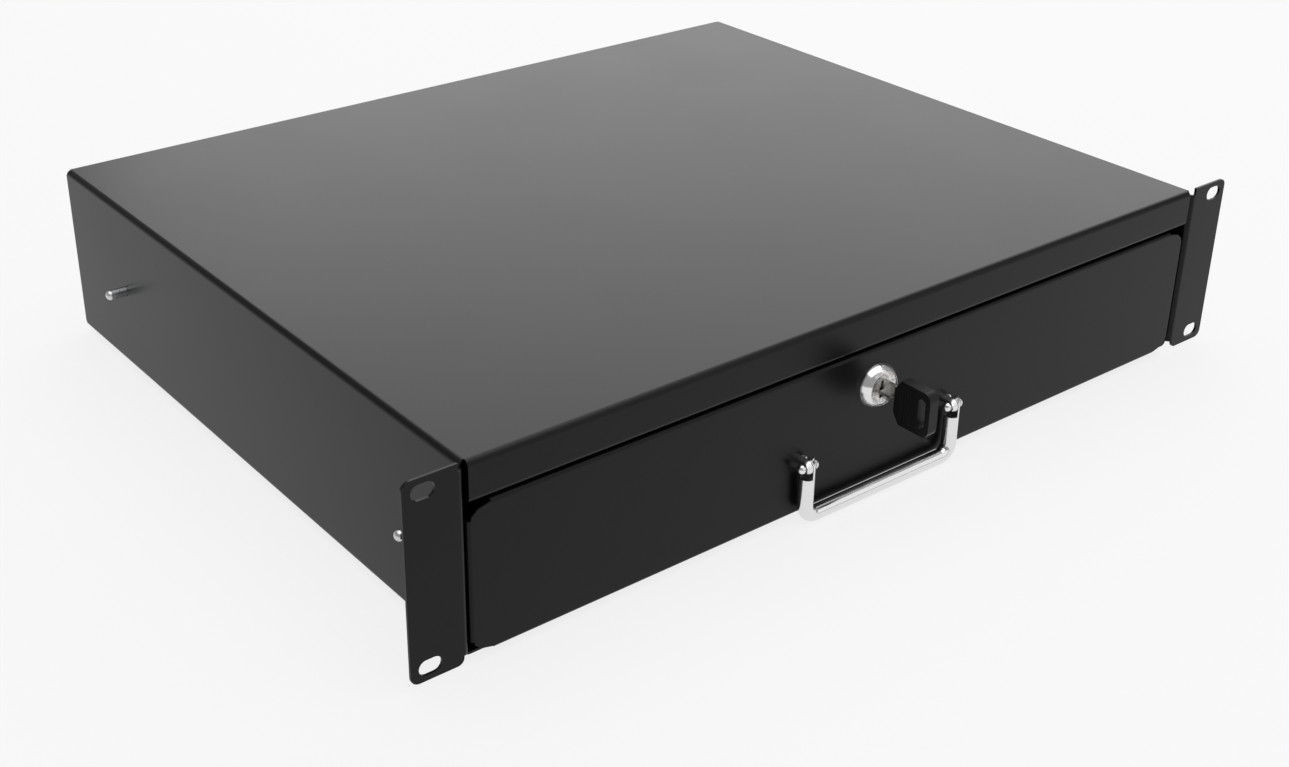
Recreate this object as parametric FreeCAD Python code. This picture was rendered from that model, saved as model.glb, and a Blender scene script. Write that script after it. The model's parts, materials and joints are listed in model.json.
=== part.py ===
import FreeCAD, Part

import math
import os

# Sliding drawer for a 19-inch rack, two units high.
# Millimetres. +X right, +Y back, +Z up, seen by someone standing at the front of the rack.
# The origin is the centre of the four rack slots, on the back face of the ears.

V = FreeCAD.Vector
RIGHT = V(1, 0, 0)
BACK = V(0, 1, 0)
UP = V(0, 0, 1)

# ---- rack panel, to the 19-inch standard
panel_width = 482.6
panel_height = 88.1
slot_inset_x = 8.75             # middle of a slot to the end of the panel
slot_inset_z = 5.95             # middle of a slot to the long edge of the panel
slot_length = 10.3
slot_width = 6.8
ear_reach = 25.3                # beyond the outside of the case
ear_outer_corner = 4.0
ear_inner_corner = 3.0

# ---- case, folded from one sheet
case_sheet = 1.2
case_bend = 1.5                 # inside radius of the folds
case_top_drop = 0.8             # top of the case below the top of the ears
case_bottom_rise = 1.0
bottom_flange = 10.7
rear_flange = 12.0

# ---- rail across the top of the opening
rail_recess = 0.0               # behind the front of the ears
rail_height = 18.3
rail_lip = 10.0
rail_end_gap = 1.5              # to the inside of the case walls

# ---- bottom plate and rear panel
plate_edge_gap = 0.3
plate_front_setback = 14.8
rear_foot = 12.0

# ---- ball-bearing slides
slide_length = 300.0
slide_height = 45.0
slide_width = 12.7
slide_front = 12.8
slide_drop = 44.3               # middle of the slides below the top of the case
slide_rear_room = 44.0          # from the slides to the back of the case
slide_sheet = 1.2
middle_sheet = 1.0
slide_corner = 1.2
ball_radius = 1.6
race_play = 0.03
race_half_angle = 70.0
race_offset = 1.4               # outer ball row from the web of the middle member
cage_sheet = 0.4
cage_rib = 0.5
cage_reach = 2.3
cage_hole_play = 0.05
cage_length = 120.0
cage_end_margin = 15.0
cage_end_land = 8.0
balls_per_row = 8
bumper_thickness = 4.0
bumper_height = 18.0
bumper_gap = 0.3

# ---- fasteners
bolt_radius = 2.45              # slide bolts, through the case walls
bolt_hole_play = 0.15
bolt_head_radius = 4.5
bolt_head_height = 1.6
bolt_reach = 10.0               # beyond the outside of the case
bolt_front_inset = 19.0
bolt_rear_inset = 17.0
screw_radius = 1.95
screw_hole_play = 0.1
screw_head_radius = 4.0
screw_head_height = 2.2
screw_reach = 4.8
screw_front_inset = 22.0
screw_rear_inset = 30.0
rear_screw_radius = 1.45
rear_screw_head_radius = 2.8
rear_screw_head_height = 1.8
rear_screw_reach = 5.0
rear_screw_inset = 7.0
rear_screw_corner = 17.2        # side screws below the top and above the bottom of the case
rear_screw_pitch = 120.0        # along the top
rivet_radius = 1.6
rivet_head_radius = 3.0
rivet_head_height = 0.8
rivet_inset = 6.8
rivet_front_inset = 40.0
rivet_rear_inset = 26.8
rivet_rows = 4
rivet_foot_pitch = 110.0

# ---- drawer front, a shallow folded pan
front_recess = 0.7              # behind the front of the ears
front_sheet = 1.2
front_bend = 0.6
front_side_gap = 0.8
front_rail_gap = 1.3
front_bottom_rise = 0.5
front_return = 10.0
notch_width = 10.7
notch_step = 1.0
notch_fall = 1.4                # slope of the notch's edge, from its step down to the chamfer
chamfer_width = 5.0
chamfer_height = 4.2
stud_radius = 1.95
stud_reach = 8.0
stud_side_inset = 42.0          # from the outside of the tray
stud_edge_inset = 17.6          # from the top and bottom of the drawer front
stud_nut_flats = 7.0
stud_nut_height = 3.2
nut_corner_share = 0.98         # turned radius of a nut over its corners
nut_chamfer_share = 0.12        # chamfer of a nut over its height

# ---- tray behind the front
tray_sheet = 1.2
tray_bend = 1.0
tray_floor_gap = 1.8            # above the bottom plate
tray_top_drop = 3.7             # below the top of the drawer front
tray_lip = 6.0
tray_rear_gap = 11.6            # to the rear panel

# ---- cam lock
lock_drop = 18.2                # below the top of the drawer front
lock_shift = 1.4                # lock axis to the left of the middle
bezel_radius = 10.2
bezel_height = 4.8
bezel_round = 1.9
barrel_radius = 9.0
barrel_flats = 16.0
barrel_length = 15.0
barrel_hole_play = 0.15
recess_depth = 2.4
plug_head_radius = 7.65
plug_head_play = 0.2
plug_head_setback = 0.5
plug_radius = 6.45
plug_play = 0.05
plug_square = 7.0
plug_square_play = 0.05
lock_washer_radius = 12.0
lock_washer_height = 0.8
lock_nut_flats = 22.0
lock_nut_height = 3.0
cam_gap = 0.3                   # between the barrel and the cam
cam_rail_gap = 1.3              # between the lip of the rail and the cam
cam_thickness = 2.0
cam_hub_radius = 8.5
cam_width = 13.0
cam_length = 27.0
cam_corner = 2.5
cam_screw_radius = 1.95
cam_screw_head_radius = 4.5
cam_screw_head_height = 2.4
cam_screw_reach = 4.0
wafer_thickness = 0.9
wafer_pitch = 2.0
wafer_count = 5
wafer_width = 7.0
wafer_height = 11.4
wafer_play = 0.1

# ---- key
keyway_width = 2.2
keyway_height = 8.7
keyway_depth = 15.0
key_play = 0.1
key_showing = 8.8               # metal between the lock and the bow
bow_length = 20.4
bow_height = 21.2
bow_thickness = 5.3
bow_drop = 1.2                  # centre of the bow below the lock axis
bow_corner = 4.0
bow_chamfer_length = 3.4
bow_chamfer_height = 5.0
bow_slot_length = 14.0
bow_slot_width = 4.0
bow_slot_inset = 4.6
bow_edge_round = 0.6
key_root = 4.0                  # metal moulded into the bow

# ---- bail handle and its two posts
bail_width = 90.0               # between the middles of its arms
bail_rise = 25.5                # pivot axis above the bottom of the drawer front
bail_rod_radius = 3.5
bail_drop = 26.25               # pivot axis to the middle of the crossbar
bail_bend = 6.0                 # radius of the bends on the rod's centreline
bail_shoulder = 5.2             # step of the half lap, from the pivot axis
bail_collar_gap = 0.5           # between the rod and the collar of a post
lap_gap = 0.15
post_collar = 0.7               # full round of a post, next to the drawer front
post_screw_radius = 1.95
post_screw_length = 9.0
post_washer_radius = 4.5
post_washer_height = 0.8
post_nut_flats = 7.0
post_nut_height = 3.2
pin_radius = 1.3
pin_play = 0.05
pin_head_radius = 2.3
pin_head_height = 2.2

overcut = 1.0                   # how far a cutter reaches past what it opens
same_place = 1e-4               # two places nearer than this are one

# ---- places worked out from the sizes above
slot_x = panel_width / 2 - slot_inset_x
slot_z = panel_height / 2 - slot_inset_z
ear_front = -case_sheet
wall_outside = panel_width / 2 - ear_reach
wall_inside = wall_outside - case_sheet
case_top = panel_height / 2 - case_top_drop
case_bottom = -panel_height / 2 + case_bottom_rise
case_round = case_bend + case_sheet
rail_front = ear_front + rail_recess
rail_bottom = case_top - rail_height
rail_half = wall_inside - rail_end_gap
plate_under = case_bottom + case_sheet
plate_top = plate_under + case_sheet
plate_half = wall_inside - case_bend - plate_edge_gap
slide_rear = slide_front + slide_length
slide_travel = slide_length
slide_centre_z = case_top - slide_drop
case_depth = slide_rear + slide_rear_room
rear_plate_back = case_depth - case_sheet
rear_plate_front = rear_plate_back - case_sheet

front_face = ear_front + front_recess
front_back = front_face + front_sheet
front_half = wall_inside - front_side_gap
front_top = rail_bottom - front_rail_gap
front_bottom = -panel_height / 2 + front_bottom_rise
front_round = front_bend + front_sheet
notch_height = notch_step + notch_fall + chamfer_height

tray_half = wall_inside - slide_width
tray_inside = tray_half - tray_sheet
tray_front = front_back
tray_wall_back = tray_front + tray_sheet
tray_rear = rear_plate_front - tray_rear_gap
tray_under = plate_top + tray_floor_gap
tray_top = front_top - tray_top_drop
tray_round = tray_bend + tray_sheet

race_radius = ball_radius + race_play
race_half_width = (race_radius + slide_sheet) * math.sin(math.radians(race_half_angle))
member_stack = 2 * slide_sheet + bolt_head_height + 2 * cage_sheet + middle_sheet + 2 * race_half_width
member_gap = (slide_width - member_stack) / 4
member_rear = slide_rear - bumper_thickness - bumper_gap
outer_cage_u = slide_sheet + bolt_head_height + member_gap
middle_u = outer_cage_u + cage_sheet + member_gap
inner_cage_u = middle_u + middle_sheet + member_gap
outer_ball_u = middle_u + race_offset
inner_ball_u = inner_cage_u + cage_sheet + member_gap + race_half_width
outer_ball_v = slide_height / 2 - slide_sheet - race_radius
middle_half = outer_ball_v - race_radius
inner_ball_v = middle_half - middle_sheet - race_radius
inner_half = inner_ball_v - race_radius
cage_front = slide_front + slide_travel / 4 + cage_end_margin
bolt_places_y = (slide_front + bolt_front_inset, slide_rear - bolt_rear_inset)
screw_places_y = (slide_front + screw_front_inset, (slide_front + slide_rear) / 2,
                  slide_rear - screw_rear_inset)

lock_z = front_top - lock_drop
lock_side = V(-lock_shift, 0, 0)
recess_radius = plug_head_radius + plug_head_play
bezel_front = front_face - bezel_height
barrel_rear = front_face + barrel_length
plug_face = bezel_front + plug_head_setback
cam_front = barrel_rear + cam_gap
cam_rear = cam_front + cam_thickness
rail_back = cam_front - cam_rail_gap
bow_rear = plug_face - key_showing
bow_front = bow_rear - bow_length
bow_z = lock_z - bow_drop
pivot_standoff = bail_rod_radius + bail_collar_gap + post_collar
pivot_y = front_face - pivot_standoff
bail_z = front_bottom + bail_rise
post_places_x = (-bail_width / 2, bail_width / 2)


# ---- shapes
def block(x0, x1, y0, y1, z0, z1):
    return Part.makeBox(x1 - x0, y1 - y0, z1 - z0, V(x0, y0, z0))


def rod(start, direction, radius, length):
    return Part.makeCylinder(radius, length, start, direction)


def ring(start, direction, radius, hole, length):
    return rod(start, direction, radius, length).cut(rod(start, direction, hole, length))


def joined(shapes):
    return shapes[0].multiFuse(shapes[1:]).removeSplitter()


def drilled(shape, tools):
    return shape.cut(Part.makeCompound(tools))


def at_lock(shape):
    """The shape, drawn about the middle of the part, moved onto the axis of the lock."""
    return shape.translated(lock_side)


def mirrored(shape):
    return shape.mirror(V(0, 0, 0), RIGHT)


def rounded_face(corners, radii):
    """A flat face through the corners, each one rounded by its radius where that is above zero."""
    edges = []
    starts = []
    ends = []
    count = len(corners)
    for i, corner in enumerate(corners):
        before = (corners[i - 1] - corner).normalize()
        after = (corners[(i + 1) % count] - corner).normalize()
        half = before.getAngle(after) / 2
        reach = radii[i] / math.tan(half)
        starts.append(corner + before * reach)
        ends.append(corner + after * reach)
        if radii[i] > 0:
            middle = (before + after).normalize()
            centre_distance = radii[i] / math.sin(half)
            mid = corner + middle * (centre_distance - radii[i])
            edges.append(Part.Arc(starts[i], mid, ends[i]).toShape())
        following = corners[(i + 1) % count]
        next_before = (corner - following).normalize()
        next_after = (corners[(i + 2) % count] - following).normalize()
        next_reach = radii[(i + 1) % count] / math.tan(next_before.getAngle(next_after) / 2)
        next_start = following + next_before * next_reach
        if (next_start - ends[i]).Length > same_place:
            edges.append(Part.makeLine(ends[i], next_start))
    return Part.Face(Part.Wire(Part.__sortEdges__(edges)))


def folded_sheet(path, side, thickness, inside, place, sweep):
    """A sheet folded along a flat path of (u, v) points and extruded by sweep.

    The path is one face of the sheet, and side is +1 or -1 for metal on its left or right.
    """
    steps = [(b[0] - a[0], b[1] - a[1]) for a, b in zip(path, path[1:])]
    lengths = [math.hypot(*step) for step in steps]
    normals = [(-side * s[1] / n, side * s[0] / n) for s, n in zip(steps, lengths)]
    offset = []
    near_radii = []
    far_radii = []
    for i, point in enumerate(path):
        if i in (0, len(path) - 1):
            normal = normals[0] if i == 0 else normals[-1]
            offset.append((point[0] + normal[0] * thickness, point[1] + normal[1] * thickness))
            near_radii.append(0)
            far_radii.append(0)
            continue
        first, second = normals[i - 1], normals[i]
        scale = thickness / (1 + first[0] * second[0] + first[1] * second[1])
        offset.append((point[0] + (first[0] + second[0]) * scale, point[1] + (first[1] + second[1]) * scale))
        turn = steps[i - 1][0] * steps[i][1] - steps[i - 1][1] * steps[i][0]
        metal_inside = turn * side > 0
        near_radii.append(inside + thickness if metal_inside else inside)
        far_radii.append(inside if metal_inside else inside + thickness)
    corners = [place(u, v) for u, v in path + offset[::-1]]
    return rounded_face(corners, near_radii + far_radii[::-1]).extrude(sweep)


def slot_cutter(x, z, length, width, y0, y1):
    """A round-ended cutter lying along X, from y0 to y1."""
    half_run = (length - width) / 2
    ends = [rod(V(x + s * half_run, y0, z), BACK, width / 2, y1 - y0) for s in (-1, 1)]
    return joined([block(x - half_run, x + half_run, y0, y1, z - width / 2, z + width / 2)] + ends)


def hexagon(centre, flats, length):
    """A hexagonal prism along +Y."""
    corner = flats / math.sqrt(3)
    angles = [math.radians(60 * i) for i in range(6)]
    points = [centre + V(corner * math.cos(a), 0, corner * math.sin(a)) for a in angles]
    return Part.Face(Part.makePolygon(points + points[:1])).extrude(BACK * length)


def nut(centre, flats, height, bore):
    """A nut along +Y, its corners turned down on both faces."""
    turned = rod(centre, BACK, flats / math.sqrt(3) * nut_corner_share, height)
    turned = turned.makeChamfer(height * nut_chamfer_share, [e for e in turned.Edges if e.Closed])
    return hexagon(centre, flats, height).common(turned).cut(rod(centre, BACK, bore, height))


def domed_disc(centre, direction, radius, height):
    """A rivet or screw head, flat at its centre point and domed along the direction."""
    sphere_radius = (radius ** 2 + height ** 2) / (2 * height)
    ball = Part.makeSphere(sphere_radius, centre + direction * (height - sphere_radius))
    return ball.common(rod(centre, direction, radius + overcut, height + overcut))


# ---- case
def case_wrap():
    """Top, sides, ears, front rail and rear flanges of the case, folded from one sheet."""
    flange_end = wall_outside - bottom_flange
    body_front = rail_front + case_round
    body_rear = case_depth - case_round
    body_path = [(-flange_end, case_bottom), (-wall_outside, case_bottom), (-wall_outside, case_top),
                 (wall_outside, case_top), (wall_outside, case_bottom), (flange_end, case_bottom)]
    body = folded_sheet(body_path, -1, case_sheet, case_bend,
                        lambda x, z: V(x, body_front, z), BACK * (body_rear - body_front))

    rail_path = [(body_front + case_sheet, case_top), (rail_front, case_top), (rail_front, rail_bottom),
                 (rail_back, rail_bottom), (rail_back, rail_bottom + rail_lip)]
    rail = folded_sheet(rail_path, 1, case_sheet, case_bend,
                        lambda y, z: V(-rail_half, y, z), RIGHT * (2 * rail_half))
    top_path = [(body_rear - case_sheet, case_top), (case_depth, case_top),
                (case_depth, case_top - rear_flange)]
    top_rear = folded_sheet(top_path, -1, case_sheet, case_bend,
                            lambda y, z: V(-rail_half, y, z), RIGHT * (2 * rail_half))

    strip_bottom = case_bottom + case_round
    strip_height = case_top - case_round - strip_bottom
    ear_path = [(wall_outside + case_round, 0), (wall_outside, 0), (wall_outside, body_front + case_sheet)]
    ear_fold = folded_sheet(ear_path, 1, case_sheet, case_bend,
                            lambda x, y: V(x, y, strip_bottom), UP * strip_height)
    rear_path = [(wall_outside, body_rear - case_sheet), (wall_outside, case_depth),
                 (wall_outside - rear_flange, case_depth)]
    side_rear = folded_sheet(rear_path, 1, case_sheet, case_bend,
                             lambda x, y: V(x, y, strip_bottom), UP * strip_height)

    ear_inner = wall_outside + case_bend
    ear_half = panel_height / 2
    ear_corners = [V(ear_inner, ear_front, -ear_half), V(panel_width / 2, ear_front, -ear_half),
                   V(panel_width / 2, ear_front, ear_half), V(ear_inner, ear_front, ear_half)]
    ear_radii = [ear_inner_corner, ear_outer_corner, ear_outer_corner, 0]
    ear = rounded_face(ear_corners, ear_radii).extrude(BACK * case_sheet)
    slots = [slot_cutter(slot_x, s * slot_z, slot_length, slot_width, ear_front - overcut, overcut)
             for s in (-1, 1)]
    right = joined([drilled(ear, slots), ear_fold, side_rear])
    shell = joined([body, rail, top_rear, right, mirrored(right)])

    hole = bolt_radius + bolt_hole_play
    through = 2 * (wall_outside + overcut)
    holes = [rod(V(-wall_outside - overcut, y, slide_centre_z), RIGHT, hole, through) for y in bolt_places_y]
    holes += [sheet_hole(V(x, rear_plate_back, z), BACK, rear_screw_radius + screw_hole_play)
              for x, z in rear_screw_places()]
    holes += [sheet_hole(V(x, y, case_bottom), UP, rivet_radius) for x, y in flange_rivet_places()]
    return drilled(shell, holes)


def sheet_hole(place, direction, radius):
    """Cutter for a round hole through one thickness of the case's sheet, from its near face."""
    return rod(place - direction * overcut, direction, radius, case_sheet + 2 * overcut)


def rear_screw_places():
    side_x = wall_outside - rear_screw_inset
    sides = [(s * side_x, z) for s in (-1, 1)
             for z in (case_bottom + rear_screw_corner, case_top - rear_screw_corner)]
    return sides + [(i * rear_screw_pitch, case_top - rear_screw_inset) for i in (-1, 0, 1)]


def flange_rivet_places():
    first, last = rivet_front_inset, case_depth - rivet_rear_inset
    rows_y = [first + i * (last - first) / (rivet_rows - 1) for i in range(rivet_rows)]
    return [(s * (wall_outside - rivet_inset), y) for s in (-1, 1) for y in rows_y]


def foot_rivet_places():
    y = rear_plate_back - (rear_foot + case_bend) / 2
    return [(i * rivet_foot_pitch, y) for i in (-1, 0, 1)]


def bottom_plate():
    """Flat sheet that closes the underside, resting on the side flanges."""
    plate = block(-plate_half, plate_half, plate_front_setback, rear_plate_back, plate_under, plate_top)
    places = flange_rivet_places() + foot_rivet_places()
    return drilled(plate, [sheet_hole(V(x, y, plate_under), UP, rivet_radius) for x, y in places])


def rear_panel():
    """Flat back with a foot folded forward over the bottom plate."""
    top = case_top - case_sheet - case_bend - plate_edge_gap
    path = [(rear_plate_back - rear_foot, plate_top), (rear_plate_back, plate_top), (rear_plate_back, top)]
    panel = folded_sheet(path, 1, case_sheet, case_bend,
                         lambda y, z: V(-plate_half, y, z), RIGHT * (2 * plate_half))
    holes = [sheet_hole(V(x, rear_plate_front, z), BACK, rear_screw_radius) for x, z in rear_screw_places()]
    holes += [sheet_hole(V(x, y, plate_top), UP, rivet_radius) for x, y in foot_rivet_places()]
    return drilled(panel, holes)


def rear_screws():
    screws = []
    for x, z in rear_screw_places():
        head = domed_disc(V(x, case_depth, z), BACK, rear_screw_head_radius, rear_screw_head_height)
        shank = rod(V(x, case_depth - rear_screw_reach, z), BACK, rear_screw_radius, rear_screw_reach)
        screws.append(joined([head, shank]))
    return Part.makeCompound(screws)


def bottom_rivets():
    """Rivets with a flat formed head inside and a flush tail in the lowest sheet."""
    rivets = []
    stacks = [(place, case_bottom, plate_top) for place in flange_rivet_places()]
    stacks += [(place, plate_under, plate_top + case_sheet) for place in foot_rivet_places()]
    for (x, y), low, high in stacks:
        shank = rod(V(x, y, low), UP, rivet_radius, high - low)
        rivets.append(joined([shank, domed_disc(V(x, y, high), UP, rivet_head_radius, rivet_head_height)]))
    return Part.makeCompound(rivets)


def slide_bolts():
    """Bolts from inside the slides through the case walls, their round tips standing out."""
    bolts = []
    head_face = wall_inside - slide_sheet
    for y in bolt_places_y:
        head = rod(V(head_face - bolt_head_height, y, slide_centre_z), RIGHT,
                   bolt_head_radius, bolt_head_height)
        head = head.makeChamfer(bolt_head_height / 4, [e for e in head.Edges if e.Closed][1:])
        shank_end = wall_outside + bolt_reach - bolt_radius
        shank = rod(V(head_face, y, slide_centre_z), RIGHT, bolt_radius, shank_end - head_face)
        tip = Part.makeSphere(bolt_radius, V(shank_end, y, slide_centre_z))
        bolt = joined([head, shank, tip])
        bolts += [bolt, mirrored(bolt)]
    return Part.makeCompound(bolts)


# ---- slides: u runs from the case wall towards the tray, v is height about the slide's middle
def slide_point(u, v, y):
    return V(wall_inside - u, y, slide_centre_z + v)


def slide_bar(u0, u1, v0, v1, y0, y1):
    return block(wall_inside - u1, wall_inside - u0, y0, y1, slide_centre_z + v0, slide_centre_z + v1)


def race(u, v, side, thickness, y0, y1):
    """Curved lip of a ball race: above the ball for side +1, below it for -1."""
    def at(radius, degrees):
        angle = math.radians(degrees)
        return slide_point(u + radius * math.sin(angle), v + side * radius * math.cos(angle), y0)
    near, far, a = race_radius, race_radius + thickness, race_half_angle
    edges = [Part.Arc(at(near, -a), at(near, 0), at(near, a)).toShape(),
             Part.makeLine(at(near, a), at(far, a)),
             Part.Arc(at(far, a), at(far, 0), at(far, -a)).toShape(),
             Part.makeLine(at(far, -a), at(near, -a))]
    return Part.Face(Part.Wire(edges)).extrude(BACK * (y1 - y0))


def rounded_long_edges(shape, u, half, radius):
    """Rounds the two long edges of a slide member at u, at heights +half and -half."""
    x = wall_inside - u
    edges = [e for e in shape.Edges if abs(e.CenterOfMass.x - x) < same_place
             and abs(abs(e.CenterOfMass.z - slide_centre_z) - half) < same_place
             and e.Length > slide_length / 2]
    return shape.makeFillet(radius, edges)


def outer_slide():
    """Outer member, fixed to the case wall."""
    y0, y1 = slide_front, slide_rear
    top = slide_height / 2
    parts = [slide_bar(0, slide_sheet, -top, top, y0, y1)]
    for s in (-1, 1):
        low, high = sorted((s * (top - slide_sheet), s * top))
        parts.append(slide_bar(0, outer_ball_u, low, high, y0, y1))
        parts.append(race(outer_ball_u, s * outer_ball_v, s, slide_sheet, y0, y1))
    member = rounded_long_edges(joined(parts), 0, top, slide_corner)
    hole = bolt_radius + bolt_hole_play
    return drilled(member, [rod(slide_point(-overcut, 0, y), -RIGHT, hole, slide_sheet + 2 * overcut)
                            for y in bolt_places_y])


def middle_slide():
    """Middle member, riding between two pairs of ball rows."""
    y0, y1 = slide_front, member_rear
    parts = [slide_bar(middle_u, middle_u + middle_sheet, -middle_half, middle_half, y0, y1)]
    for s in (-1, 1):
        low, high = sorted((s * (middle_half - middle_sheet), s * middle_half))
        parts.append(slide_bar(middle_u, inner_ball_u, low, high, y0, y1))
        parts.append(race(outer_ball_u, s * outer_ball_v, -s, middle_sheet, y0, y1))
        parts.append(race(inner_ball_u, s * inner_ball_v, s, middle_sheet, y0, y1))
    room = slide_bar(middle_u, slide_width, -slide_height, slide_height, y0, y1)
    return joined(parts).common(room)


def inner_slide():
    """Inner member, fixed to the side of the tray."""
    y0, y1 = slide_front, member_rear
    web = slide_width - slide_sheet
    parts = [slide_bar(web, slide_width, -inner_half, inner_half, y0, y1)]
    for s in (-1, 1):
        low, high = sorted((s * (inner_half - slide_sheet), s * inner_half))
        parts.append(slide_bar(inner_ball_u, slide_width, low, high, y0, y1))
        parts.append(race(inner_ball_u, s * inner_ball_v, -s, slide_sheet, y0, y1))
    holes = [rod(slide_point(web - overcut, 0, y), -RIGHT, screw_radius, slide_sheet + 2 * overcut)
             for y in screw_places_y]
    return drilled(rounded_long_edges(joined(parts), slide_width, inner_half, slide_corner), holes)


def ball_places(ball_v):
    pitch = (cage_length - 2 * cage_end_land) / (balls_per_row - 1)
    along = [cage_front + cage_end_land + i * pitch for i in range(balls_per_row)]
    return [(s * ball_v, y) for s in (-1, 1) for y in along]


def ball_cage(cage_u, ball_u, ball_v):
    """Thin channel that spaces two rows of balls."""
    y0, y1 = cage_front, cage_front + cage_length
    half = ball_v + cage_rib / 2
    parts = [slide_bar(cage_u, cage_u + cage_sheet, -half, half, y0, y1)]
    for s in (-1, 1):
        low, high = sorted((s * (ball_v - cage_rib / 2), s * half))
        parts.append(slide_bar(cage_u, ball_u + cage_reach, low, high, y0, y1))
    holes = [rod(slide_point(ball_u, v, y) - UP * overcut, UP, ball_radius + cage_hole_play, 2 * overcut)
             for v, y in ball_places(ball_v)]
    return drilled(joined(parts), holes)


def balls(ball_u, ball_v):
    return Part.makeCompound([Part.makeSphere(ball_radius, slide_point(ball_u, v, y))
                              for v, y in ball_places(ball_v)])


def rear_bumper():
    """Soft stop at the back of the outer member."""
    bumper = slide_bar(slide_sheet, slide_width - bumper_gap, -bumper_height / 2, bumper_height / 2,
                       slide_rear - bumper_thickness, slide_rear)
    return bumper.makeFillet(bumper_thickness / 4, bumper.Edges)


# ---- drawer
def front_holes(y0, y1):
    """Cutters for what passes through the front of the drawer and the tray wall behind it."""
    start = V(0, y0, lock_z)
    hole_radius = barrel_radius + barrel_hole_play
    half_flats = barrel_flats / 2 + barrel_hole_play
    lock_hole = rod(start, BACK, hole_radius, y1 - y0)
    flats = block(-half_flats, half_flats, y0, y1, lock_z - 2 * hole_radius, lock_z + 2 * hole_radius)
    posts = [rod(V(x, y0, bail_z), BACK, post_screw_radius + screw_hole_play, y1 - y0) for x in post_places_x]
    return [at_lock(lock_hole.common(flats))] + posts


def stud_places():
    heights = (front_bottom + stud_edge_inset, front_top - stud_edge_inset)
    return [(s * (tray_half - stud_side_inset), z) for s in (-1, 1) for z in heights]


def drawer_front():
    """Face of the drawer, with its four edges folded back and its corners notched."""
    half, top, bottom = front_half, front_top, front_bottom
    r = front_round
    slope = chamfer_height / chamfer_width
    quarter = [(half - r, top - notch_height + r * slope),
               (half - chamfer_width, top - notch_step - notch_fall),
               (half - notch_width, top - notch_step), (half - notch_width, top - r)]
    middle = (top + bottom) / 2
    upper = quarter + [(-x, z) for x, z in quarter[::-1]]
    outline = upper + [(x, 2 * middle - z) for x, z in upper[::-1]]
    face = rounded_face([V(x, front_face, z) for x, z in outline], [0] * len(outline))
    parts = [face.extrude(BACK * front_sheet)]

    back = front_face + front_return
    side_path = [(half - 2 * r, front_face), (half, front_face), (half, back)]
    side = folded_sheet(side_path, 1, front_sheet, front_bend,
                        lambda x, y: V(x, y, bottom + notch_height), UP * (top - bottom - 2 * notch_height))
    top_path = [(back, top), (front_face, top), (front_face, top - 2 * r)]
    run = half - notch_width
    upper_edge = folded_sheet(top_path, 1, front_sheet, front_bend,
                              lambda y, z: V(-run, y, z), RIGHT * (2 * run))
    lower_edge = upper_edge.mirror(V(0, 0, middle), UP)
    shell = joined(parts + [side, mirrored(side), upper_edge, lower_edge])
    return drilled(shell, front_holes(front_face - overcut, front_back + overcut))


def drawer_tray():
    """Open tray: floor, four walls and narrow lips turned in along the sides and the back."""
    r = tray_round
    body_path = [(-tray_half + tray_lip, tray_top), (-tray_half, tray_top), (-tray_half, tray_under),
                 (tray_half, tray_under), (tray_half, tray_top), (tray_half - tray_lip, tray_top)]
    body = folded_sheet(body_path, 1, tray_sheet, tray_bend,
                        lambda x, z: V(x, tray_front + r, z), BACK * (tray_rear - tray_front - 2 * r))
    run = tray_half - r
    front_path = [(tray_front + 2 * r, tray_under), (tray_front, tray_under), (tray_front, tray_top)]
    front_wall = folded_sheet(front_path, -1, tray_sheet, tray_bend,
                              lambda y, z: V(-run, y, z), RIGHT * (2 * run))
    rear_path = [(tray_rear - 2 * r, tray_under), (tray_rear, tray_under), (tray_rear, tray_top),
                 (tray_rear - tray_lip, tray_top)]
    rear_wall = folded_sheet(rear_path, 1, tray_sheet, tray_bend,
                             lambda y, z: V(-run, y, z), RIGHT * (2 * run))
    low, high = tray_under + r, tray_top - r
    corners = [block(-tray_half, tray_half, tray_front, tray_front + tray_sheet, low, high),
               block(-tray_half, tray_half, tray_rear - tray_sheet, tray_rear, low, high)]
    for x0, x1 in ((-tray_half, -tray_inside), (tray_inside, tray_half)):
        corners.append(block(x0, x1, tray_front, tray_front + 2 * r, low, high))
        corners.append(block(x0, x1, tray_rear - 2 * r, tray_rear, low, high))
    tray = joined([body, front_wall, rear_wall] + corners)
    holes = front_holes(tray_front - overcut, tray_wall_back + overcut)
    holes += [rod(V(x, tray_front - overcut, z), BACK, stud_radius + screw_hole_play,
                  tray_sheet + 2 * overcut) for x, z in stud_places()]
    holes += [rod(V(-tray_half - overcut, y, slide_centre_z), RIGHT,
                  screw_radius + screw_hole_play, 2 * (tray_half + overcut)) for y in screw_places_y]
    return drilled(tray, holes)


def slide_screws():
    """Screws from inside the tray into the inner members."""
    screws = []
    for y in screw_places_y:
        head = domed_disc(V(tray_inside, y, slide_centre_z), -RIGHT, screw_head_radius, screw_head_height)
        shank = rod(V(tray_inside, y, slide_centre_z), RIGHT, screw_radius, screw_reach)
        screw = joined([head, shank])
        screws += [screw, mirrored(screw)]
    return Part.makeCompound(screws)


def front_studs():
    return Part.makeCompound([rod(V(x, front_back, z), BACK, stud_radius, stud_reach)
                              for x, z in stud_places()])


def front_nuts():
    return Part.makeCompound([nut(V(x, tray_wall_back, z), stud_nut_flats, stud_nut_height, stud_radius)
                              for x, z in stud_places()])


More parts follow.
